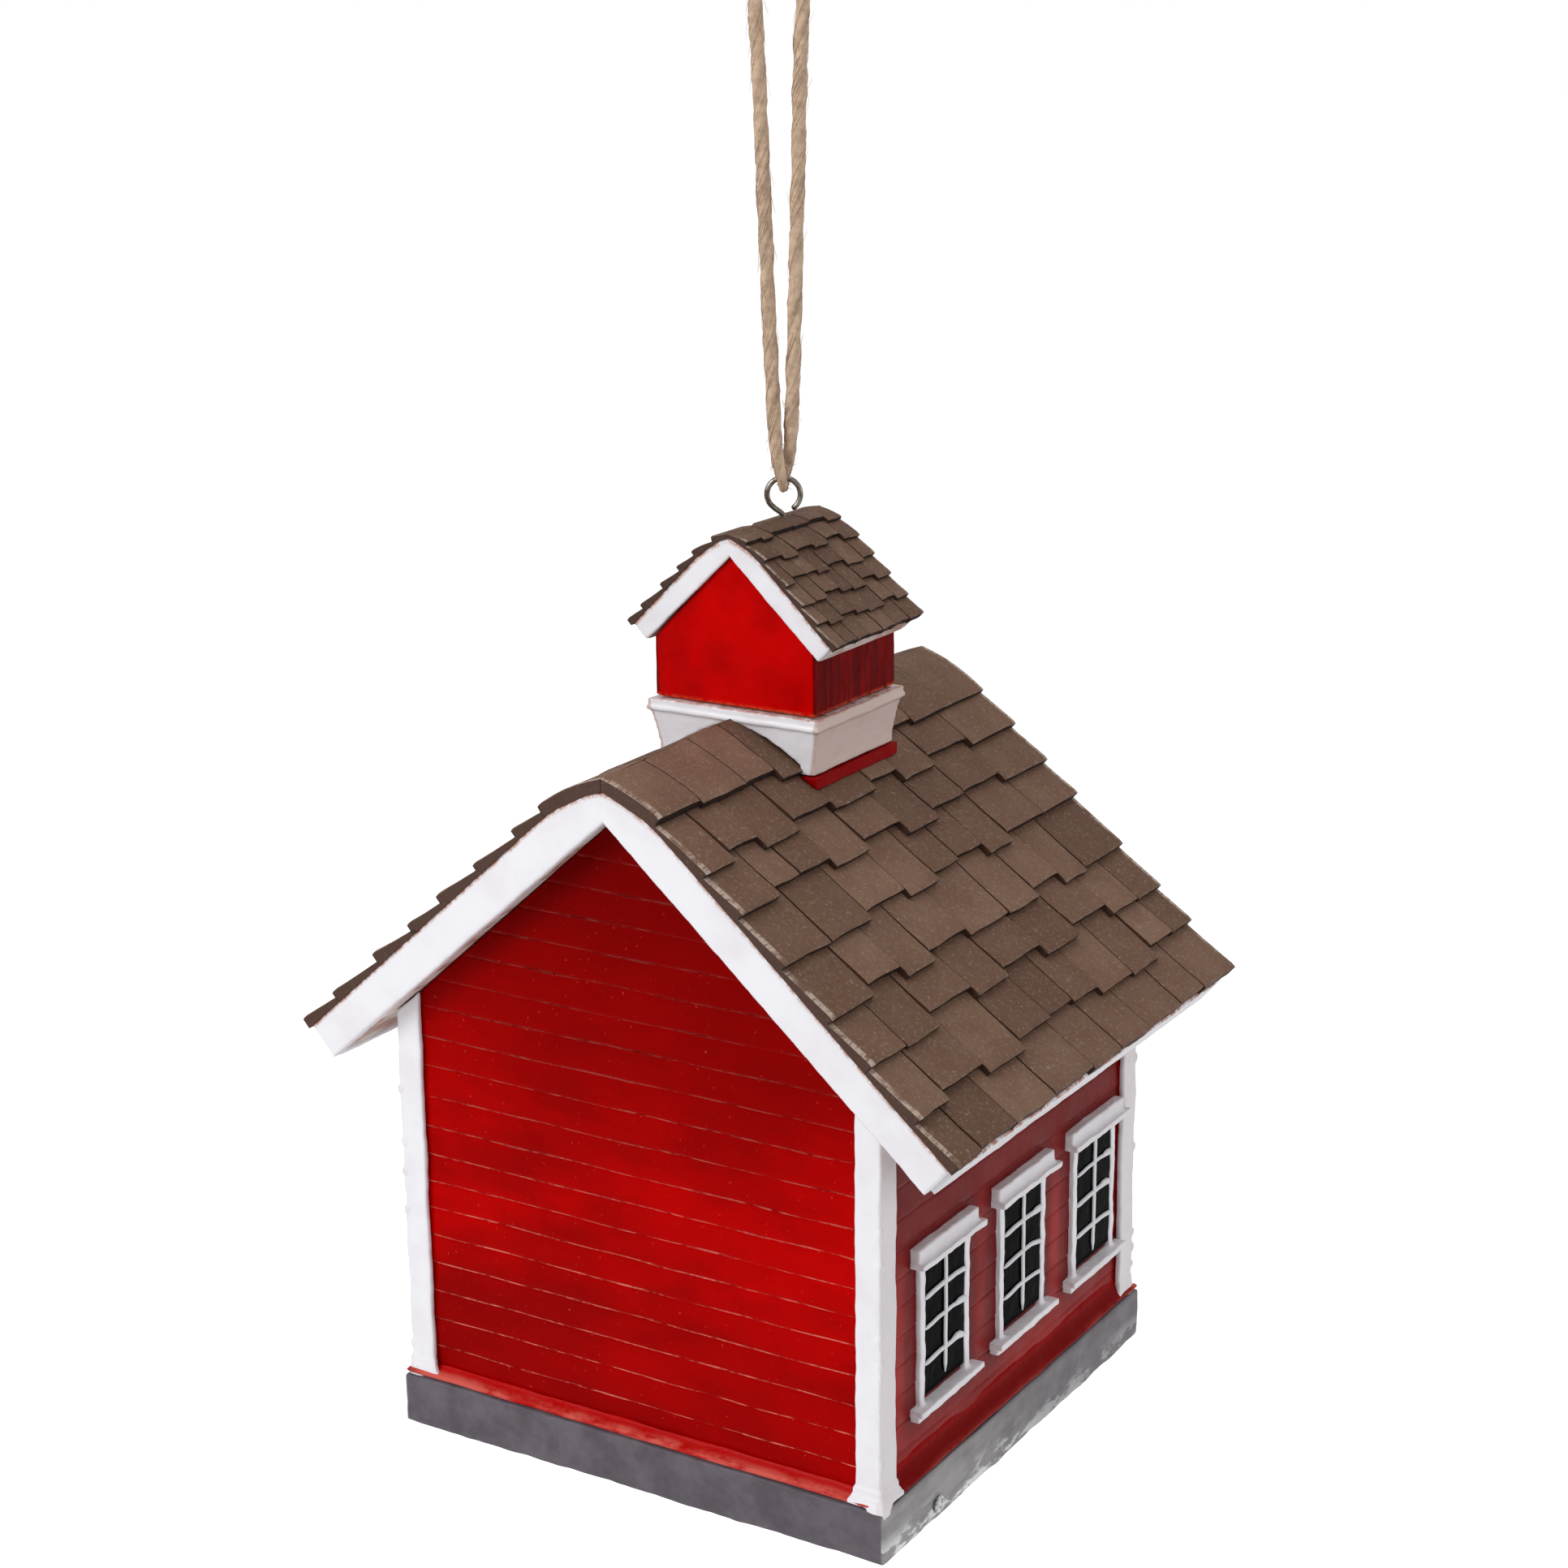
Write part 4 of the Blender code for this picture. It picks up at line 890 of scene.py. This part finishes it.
SKIRT_TOP, SKIRT_BAND = 189.28, 2.8
SKIRT_X, SKIRT_NEAR, SKIRT_FAR = 24.65, CUPOLA_Y - 21.35, CUPOLA_Y + 21.35
BEAD_OUT, BEAD_HIGH = 0.35, 0.9
skirt = casting("cupola_skirt", 0.35, 2, 0.16, 6.0, extra=(
    (-SKIRT_X - BEAD_OUT, SKIRT_X + BEAD_OUT, SKIRT_NEAR - BEAD_OUT, SKIRT_FAR + BEAD_OUT,
     SKIRT_TOP - SKIRT_BAND, SKIRT_TOP - SKIRT_BAND + BEAD_HIGH),))
mark_points(skirt, "rust", lambda p: 0.75 * eased(p.z, SKIRT_TOP - 0.5, SKIRT_TOP + 0.1))
mark_points(skirt, "shade", lambda p: 0.9 * eased(abs(p.x) + 0.2 * (SKIRT_TOP - p.z), 23.6, 24.3))
add_piece("cupola_moulding", skirt, trim_white, "cupola_skirt")

# ------------------------------------------------------------ clapboard walls
# Four cast walls, grooved as clapboards of about 7.7 mm and painted glossy red. Painted shade darkens
# the grooves and the walls round the window frames, with painted highlights broken along the grooves'
# lower lips. The entrance is bored through one gable.
WALL_BASE = 15.6
WALL_THICK = 5.5
GROOVES = (22.4, 30.3, 38.2, 46.0, 53.7, 61.2, 68.4, 75.8, 83.3, 91.5, 99.8, 107.7, 115.6, 123.4, 131.2,
           139.0, 146.8, 154.6, 162.4)
GROOVE_DEEP, GROOVE_WIDE, LAP = 0.34, 0.26, 0.16
GROOVE_STEPS = (-0.9, -0.45, -0.22, 0.0, 0.22, 0.45, 0.9)


def board_levels(top):
    """Heights of the rows of points: a few about each groove and two across each board."""
    levels = [WALL_BASE]
    for groove in GROOVES:
        if groove > top - 2.0:
            break
        levels += [(levels[-1] + groove - 0.9) / 2] + [groove + step for step in GROOVE_STEPS]
    levels += [(levels[-1] + top) / 2, top]
    return levels


def board_offset(z, along):
    """How far the siding stands off the wall's plane, and how deep in a groove it is."""
    before = max([g for g in GROOVES if g <= z], default=WALL_BASE - 0.7)
    share = (z - before) / 7.8
    near = min(GROOVES, key=lambda g: abs(g - z))
    deep = math.exp(-((z - near) / GROOVE_WIDE) ** 2)
    deep *= 0.75 + 0.5 * noise.noise((along / 9.0, near, 1.3))
    return LAP * (1 - share) - GROOVE_DEEP * deep, deep


def clapboards(name, spans, columns, to_point, thick_points):
    """A wall whose outer face is a grid that follows the boards; spans(z) gives its ends at a height."""
    levels = board_levels(spans["top"])
    points, faces, groove = [], [], []
    for z in levels:
        near_end, far_end = spans["reach"](z)
        for n in range(columns + 1):
            along = near_end + (far_end - near_end) * n / columns
            wobble = 0.30 * noise.noise((along / 16.0, z / 5.0, 7.7)) if levels[0] < z < levels[-1] else 0.0
            out, deep = board_offset(z, along)
            rough = (0.05 * noise.noise((along / 2.5, z / 2.5, 2.2))
                     + 0.10 * noise.noise((along / 14.0, z / 14.0, 5.0)))
            points.append(to_point(along, z + wobble, out + rough))
            groove.append(deep)
    wide = columns + 1
    for row in range(len(levels) - 1):
        for n in range(columns):
            a = row * wide + n
            faces.append((a, a + 1, a + wide + 1, a + wide))
    rim = list(range(wide)) + [r * wide + columns for r in range(1, len(levels))]
    rim += [(len(levels) - 1) * wide + n for n in range(columns - 1, -1, -1)]
    rim += [r * wide for r in range(len(levels) - 2, 0, -1)]
    start = len(points)
    for index in rim:
        points.append(thick_points(points[index]))
        groove.append(0.0)
    for n in range(len(rim)):
        m = (n + 1) % len(rim)
        faces.append((rim[m], rim[n], start + n, start + m))
    faces.append(tuple(start + n for n in reversed(range(len(rim)))))
    mesh = mesh_from(name, points, faces, {"groove": groove})
    data = bmesh.new()
    data.from_mesh(mesh)
    bmesh.ops.triangulate(data, faces=[f for f in data.faces if len(f.verts) > 4])
    bmesh.ops.recalc_face_normals(data, faces=data.faces)
    data.to_mesh(mesh)
    data.free()
    return mesh


def barn_red(name, light, dark, upper_from, roughness, shine, lip, streaky):
    """Glossy red with painted shade under the roof, round the window frames and in the grooves, and painted
    highlights on specks and on the grooves' broken lower lips.
    """
    finish = Finish(name, "red_paint", light, roughness, Specular_IOR_Level=shine)
    height, groove = finish.along("Z"), finish.mark("groove")
    # painted shade: darker towards the top, under the roof
    finish.over(finish.band(height, *upper_from), dark)
    finish.over(finish.times(finish.patches(22.0, 0.3, 0.72, 0.0, 1.0, 4.0, 0.6, streaky), 0.6), dark)
    # darker towards the bottom
    finish.over(finish.band(height, 78.0, 20.0, 0.0, 0.45), dark)
    # painted highlights: pale specks on the paint's nibs
    finish.over(finish.patches(1.1, 0.68, 0.73, 0.0, 0.45, 3.0, 0.6), tone(214, 84, 74))
    # painted shade round the window frames
    finish.over(finish.times(finish.mark("pool"), 0.8), tone(96, 0, 2))
    dark_low, dark_high, pale_share = lip
    # painted shade in the grooves, on the gables darker higher up
    finish.over(finish.times(finish.band(groove, 0.35, 0.95),
                             finish.band(height, 20.0, 150.0, dark_low, dark_high)), tone(70, 2, 4))
    # painted highlights: pale broken lines on the grooves' lower lips, more of them low on the wall
    finish.over(finish.times(finish.band(groove, 0.30, 0.60), finish.band(height, 130.0, 40.0, 0.15, 1.0),
                             finish.patches(3.0, 0.42, 0.58, 0.0, 1.0, 5.0, 0.75, (2, 2, 0.5)), pale_share),
                tone(222, 120, 108))
    finish.gloss(6.0, roughness - 0.06, roughness + 0.08)
    finish.bump(finish.grain(1.5, 4.0, 0.6), 0.07)
    return finish


gable_red = barn_red("gable_red", tone(190, 1, 1), tone(112, 0, 1), upper_from=(50.0, 172.0), roughness=0.34,
                     shine=0.02, lip=(0.25, 0.9, 0.9), streaky=(2.2, 1, 1))
# The side walls' pinkish red is partly chalky, rubbed paint and partly a painted sheen: the glare of the gloss
# painted into the colour.
side_red = barn_red("side_red", tone(176, 46, 44), tone(104, 1, 4), upper_from=(34.0, 96.0), roughness=0.34,
                    shine=0.12, lip=(0.85, 0.85, 0.15), streaky=(1, 2.2, 1))

HOLE, BORE_LONG = 16, 20           # the entrance's radius, and how long the bore is
PEAK = 175.631
WALL_FALL = math.tan(PITCH)
GAP = 0.3
WALL_X, WALL_Y = 68.1, 67.3
CORNER_Y = WALL_Y - WALL_THICK - GAP


def under_roof(x):
    return PEAK - WALL_FALL * abs(x) - GAP / math.cos(PITCH)


gable_spans = {"top": under_roof(0) - 0.05,
               "reach": lambda z: (-min(WALL_X, (under_roof(0) - z) / WALL_FALL),
                                   min(WALL_X, (under_roof(0) - z) / WALL_FALL))}
side_spans = {"top": under_roof(WALL_X), "reach": lambda z: (-CORNER_Y, CORNER_Y)}
for end_name, end in ENDS:
    wall = clapboards(f"gable_wall_{end_name}", gable_spans, 90,
                      lambda a, z, out, end=end: (a, end * (WALL_Y + out), z),
                      lambda p, end=end: (p[0], end * (WALL_Y - WALL_THICK), p[2]))
    if end_name == "rear":
        ring_low, ring_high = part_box("entrance_ring")
        entrance = ((ring_low + ring_high) / 2 - HOUSE) / MM
        data = bmesh.new()
        bmesh.ops.create_cone(data, cap_ends=True, segments=96, radius1=HOLE * MM, radius2=HOLE * MM,
                              depth=BORE_LONG * MM,
                              matrix=Matrix.Translation(spot(entrance.x, WALL_Y - 3, entrance.z))
                              @ Matrix.Rotation(math.pi / 2, 4, "X"))
        bore = placed("entrance_bore", mesh_of(data, "entrance_bore"))
        uncut = placed("gable_uncut", wall)
        drill = uncut.modifiers.new("drill", "BOOLEAN")
        drill.object = bore
        wall = plain_mesh(uncut)
        bpy.data.objects.remove(bore)
    add_piece(f"siding_gable_{end_name}", wall, gable_red, f"wall_gable_{end_name}")
for side_name, side in SIDES:
    wall = clapboards(f"side_wall_{side_name}", side_spans, 70,
                      lambda a, z, out, side=side: (side * (WALL_X + out), a, z),
                      lambda p, side=side: (side * (WALL_X - WALL_THICK), p[1], p[2]))
    outlines = [house_box(f"window_{side_name}_{number}_casing") for number in (1, 2, 3)]

    # painted shade: the side walls deepen in a band round each window frame
    def pool(p, outlines=outlines):
        nearest = min(math.hypot(max(a.y - p.y, p.y - b.y, 0.0), max(a.z - p.z, p.z - b.z, 0.0))
                      for a, b in outlines)
        return 1.0 - eased(nearest + 1.5 * noise.noise(p / 6.0), 0.8, 4.2)

    mark_points(wall, "pool", pool)
    add_piece(f"siding_side_{side_name}", wall, side_red, f"wall_side_{side_name}")

# ------------------------------------------------------------ corner boards
# White boards wrap the four corners. Their painted edges wander over the siding, the paint has
# left blobs along their arrises, and it has spread over the plinth's corner at each foot.
DRIPS = 5
# underside, top, how far it stands out and how far it spreads past the board, up the flared foot
FOOT_STEPS = ((14.1, 15.3, 1.3, 1.6), (15.0, 16.5, 0.9, 0.9), (16.2, 18.4, 0.5, 0.4))
# underside, how far it stands out and how wide, of the point that runs down over the plinth
POINT_STEPS = ((13.0, 1.3, 3.6), (12.2, 1.4, 2.2))
POINT_TOP = 14.6
corner_dice = random.Random(17)
for end_name, end in ENDS:
    for side_name, side in SIDES:
        node = f"corner_board_{end_name}_{side_name}"
        corner_low, corner_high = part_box(node)
        corner_x = (corner_high.x if side > 0 else corner_low.x) / MM
        corner_y = ((corner_high.y if end > 0 else corner_low.y) - HOUSE.y) / MM
        wide_x, wide_y = (corner_high.x - corner_low.x) / MM, (corner_high.y - corner_low.y) / MM

        def lump(out, back_x, back_y, z0, z1):
            """A box on the corner that stands out and reaches back along both faces."""
            return (*sorted((corner_x + side * out, corner_x - side * back_x)),
                    *sorted((corner_y + end * out, corner_y - end * back_y)), z0, z1)

        more = 1.0 if (side, end) == (1, -1) else 0.55
        lumps = []
        for z0, z1, out, spread in FOOT_STEPS:
            lumps += [lump(out * more, wide_x + spread, 1.0, z0, z1),
                      lump(out * more, 1.0, wide_y + spread, z0, z1)]
        lumps += [lump(out * more, size, size, z0, POINT_TOP) for z0, out, size in POINT_STEPS]
        for _ in range(DRIPS):
            z, size = corner_dice.uniform(WALL_BASE + 4, 95.0), corner_dice.uniform(0.5, 1.0)
            lumps.append(lump(0.35, 1.0, 1.0, z, z + size * 1.8))
        board = casting(node, 0.42, 4, 0.30, 9.0, extra=lumps)
        mark_points(board, "shade", lambda p, face=corner_x: 0.25 if abs(p.x) > abs(face) - 0.5 else 0.0)
        add_piece(f"corner_trim_{end_name}_{side_name}", board, trim_white, node)

# ------------------------------------------------------------ windows
# Three on each side: a cast frame with a two-step head cap and sill, black panes, and glazing
# bars piped on by hand as wandering white lines, with doubled strokes here and there.
pane_black = Finish("pane_black", "pane_black", tone(4, 4, 6), 0.16, Specular_IOR_Level=0.015)
pane_black.over(pane_black.patches(2.5, 0.66, 0.76, 0.0, 0.6, 4.0, 0.7), tone(60, 4, 8))
pane_black.gloss(3.0, 0.06, 0.18)
pane_black.bump(pane_black.grain(4.0, 2.0), 0.12)

BAR = 0.68
ROWS = 4
STILE, STILE_THICK = 2.3, 1.1
CAP_OVER = 3.2
# steps of the head cap and the sill: how far out, in from the near and the far end, lower and upper edge
CAP_STEPS = ((2.3, 0.3, 0.9, -3.6, 0.2), (3.7, 0.1, -0.7, -4.9, -3.3))
SILL_STEPS = ((2.2, 0.5, 0.8, 0.0, 2.0), (3.5, 0.1, -0.6, 1.8, 3.3))
window_dice = random.Random(5)
for side_name, side in SIDES:
    for number in (1, 2, 3):
        name = f"window_{side_name}_{number}"
        case_low, case_high = house_box(name + "_casing")
        pane_low, pane_high = house_box(name + "_pane")
        wall_face = min(abs(case_low.x), abs(case_high.x))
        near, far = case_low.y, case_high.y
        frame_parts = [(STILE_THICK, y, y + STILE, case_low.z + 2.0, case_high.z - 2.0)
                       for y in (near + CAP_OVER, far - CAP_OVER - STILE)]
        for steps, level in ((CAP_STEPS, case_high.z), (SILL_STEPS, case_low.z)):
            frame_parts += [(out, near + y0, far - y1, level + z0, level + z1)
                            for out, y0, y1, z0, z1 in steps]
        boxes = [(*sorted((side * (wall_face - 0.6), side * (wall_face + out))), y0, y1, z0, z1)
                 for out, y0, y1, z0, z1 in frame_parts]
        casing = casting(name + "_casing", 0.34, 2, 0.24, 5.0, extra=boxes, keep=False)
        mark_points(casing, "shade", lambda p, face=wall_face: 0.10 * eased(abs(p.x), face + 1.3, face + 2.2))
        add_piece(name + "_frame", casing, trim_white, name + "_casing")
        face = pane_high.x if side > 0 else pane_low.x
        pane_low.y, pane_high.y = near + CAP_OVER + STILE - 0.4, far - CAP_OVER - STILE + 0.4
        pane_box = (*sorted((face, face - side * 0.7)), pane_low.y, pane_high.y, pane_low.z, pane_high.z)
        pane = casting(name + "_pane", 0.34, 1, 0.08, 5.0, extra=[pane_box], keep=False)
        add_piece(name + "_glass", pane, pane_black, name + "_pane")
        depth = face + side * 0.35
        mid_y = (pane_low.y + pane_high.y) / 2
        lines = []
        row = (pane_high.z - pane_low.z) / ROWS
        lean = window_dice.uniform(-0.35, 0.35)
        uprights = 14
        foot = window_dice.uniform(0.5, 3.0)
        lines.append(([Vector((depth, mid_y + lean + 0.35 * noise.noise((k / 3.0, number * 3.1, side)),
                               pane_low.z + foot + (pane_high.z - pane_low.z - foot + 0.6) * k / uprights))
                       for k in range(uprights + 1)], 0.9))
        for k in range(1, ROWS):
            lift, droop = window_dice.uniform(-0.5, 0.9), window_dice.uniform(1.2, 3.0)
            z = pane_low.z + row * k
            bar = []
            for n in range(13):
                t = n / 6 - 1
                fall = droop * max(t - 0.35, 0.0) ** 1.5 + 0.7 * max(-t - 0.2, 0.0) ** 1.5
                bar.append(Vector((depth, mid_y + t * (pane_high.y - pane_low.y + 0.4) / 2,
                                   z + lift - fall + 0.25 * noise.noise((t * 2.5, k * 3.7, number * side)))))
            lines.append((bar, window_dice.uniform(0.85, 1.15)))
            if window_dice.random() < 0.6:
                start = window_dice.randint(7, 9)
                lines.append(([point + Vector((0.0, 0.0, 0.55)) for point in bar[start:start + 4]], 1.25))
        bars = strands(name + "_bars", lines, BAR, trim_white.material)
        add_piece(name + "_glazing_bars", bars, trim_white, name + "_muntins")
bpy.data.objects.remove(SHINGLE_BLANK)

# ------------------------------------------------------------ entrance side
# The bird's way in is a round hole in the rear gable with a white ring. The schoolhouse door
# below it is cast on the wall with two sunk panels, a white frame and a small gilt knob.
for name, node in (("entrance_surround", "entrance_ring"), ("door_surround", "door_frame")):
    add_piece(name, casting(node, 0.42, 2, 0.16, 6.0), trim_white, node)
add_piece("school_door", casting("door_slab", 0.32, 1, 0.08, 5.0), cupola_red, "door_slab")
gilt = Finish("knob_gilt", "knob_gold", tone(212, 178, 104), 0.34, Metallic=0.9)
gilt.over(gilt.patches(0.8, 0.4, 0.7), tone(150, 112, 58))
gilt.bump(gilt.grain(0.5, 2.0), 0.03)
add_piece("gilt_knob", casting("door_knob", 0.14, 2, 0.02, 2.0), gilt, "door_knob")

# ------------------------------------------------------------ ledge, plinth and clean-out floor
# A red coved ledge runs round the foot of the walls on a charcoal plinth, which is scuffed with
# chalk along its sides. The plinth is open below: the floor drops on two pins to clear out an old nest.
ledge_red = Finish("ledge_red", "red_paint", tone(178, 2, 3), 0.30, Specular_IOR_Level=0.06)
# painted shade: the coves along the side walls are darker
ledge_red.over(ledge_red.band(ledge_red.unsigned(ledge_red.along("X")), 67.0, 69.0), tone(116, 2, 5))
# paler towards the outer edge of the cove on the gable ends
ledge_red.over(ledge_red.times(ledge_red.mark("worn"),
                               ledge_red.patches(4.5, 0.36, 0.60, 0.0, 1.0, 5.0, 0.7, (3, 3, 1))),
               tone(204, 88, 78))
ledge_red.bump(ledge_red.grain(2.0, 3.0), 0.12)

# outward from the siding's plane and height, from the wall down the cove and back under it
COVE = ((-1.2, 21.2), (0.0, 20.6), (0.25, 19.4), (0.6, 18.2), (1.1, 17.1), (1.8, 16.1), (2.6, 15.4),
        (3.0, 14.9), (2.95, 14.4), (2.7, 14.1), (-2.0, 14.1), (-2.0, 20.0))
LEDGE_STEPS = 48


def cove_ring():
    """The cove's outline carried round the house with mitred corners."""
    corners = ((-1, -1), (1, -1), (1, 1), (-1, 1))
    points, worn, stations = [], [], []
    for (x0, y0), (x1, y1) in zip(corners, corners[1:] + corners[:1]):
        stations += [(x0 + (x1 - x0) * n / LEDGE_STEPS, y0 + (y1 - y0) * n / LEDGE_STEPS)
                     for n in range(LEDGE_STEPS)]
    for share_x, share_y in stations:
        for out, z in COVE:
            on_gable = abs(share_y) > 0.999
            z = z if z < 15.5 or not on_gable else 15.5 + (z - 15.5) * 0.35
            x, y = share_x * (WALL_X + out), share_y * (WALL_Y + out)
            swing = noise.noise_vector((x / 8.0, y / 8.0, z / 8.0)) * 0.3
            points.append((x + swing.x, y + swing.y, z + swing.z * (1.0 if z > 14.5 else 0.2)))
            worn.append(eased(out, 0.7, 2.2) if on_gable else 0.2 * eased(out, 2.2, 3.0))
    count, wide = len(stations), len(COVE)
    faces = [(row * wide + n, row * wide + (n + 1) % wide, (row + 1) % count * wide + (n + 1) % wide,
              (row + 1) % count * wide + n) for row in range(count) for n in range(wide)]
    return mesh_from("red_ledge", points, faces, {"worn": worn})


add_piece("red_ledge", cove_ring(), ledge_red, "sill_band")

charcoal = Finish("plinth_charcoal", "plinth_grey", tone(100, 93, 101), 0.45, Specular_IOR_Level=0.25)
charcoal.over(charcoal.patches(9.0, 0.32, 0.7, detail=5.0, harsh=0.65), tone(82, 75, 83))
chalk_side = charcoal.band(charcoal.unsigned(charcoal.along("X")), 70.6, 71.3)
forward = charcoal.band(charcoal.along("Y"), 30.0, -45.0, 0.35, 1.0)
charcoal.over(charcoal.times(chalk_side, charcoal.patches(4.5, 0.25, 0.75, 0.5, 0.95, 4.0, 0.6, (1, 4, 1)),
                             forward), tone(158, 156, 155))
charcoal.over(charcoal.times(charcoal.band(charcoal.along("Z"), 9.0, 1.5),
                             charcoal.patches(6.5, 0.49, 0.57, 0.0, 1.0, 5.0, 0.65, (1, 2.4, 0.8)),
                             chalk_side, forward), tone(226, 228, 230))
charcoal.gloss(5.0, 0.38, 0.58)
charcoal.bump(charcoal.grain(2.4, 5.0, 0.6), 0.16)
add_piece("charcoal_plinth", casting("plinth", 0.75, 2, 0.35, 10.0), charcoal, "plinth")
add_piece("clean_out_floor", casting("floor_door", 0.7, 1, 0.10, 10.0), charcoal, "floor_door", body="floor")
pin_paint = Finish("pin_paint", "eye_steel", tone(222, 222, 220), 0.42, Specular_IOR_Level=0.4)
pin_paint.over(pin_paint.patches(1.2, 0.42, 0.60, detail=4.0, harsh=0.7), tone(138, 135, 134))
pin_paint.bump(pin_paint.grain(0.8, 3.0), 0.08)
for side_name, side in SIDES:
    node = f"floor_pin_{side_name}"
    add_piece(f"floor_screw_{side_name}", casting(node, 0.22, 2, 0.03, 2.0), pin_paint, node)
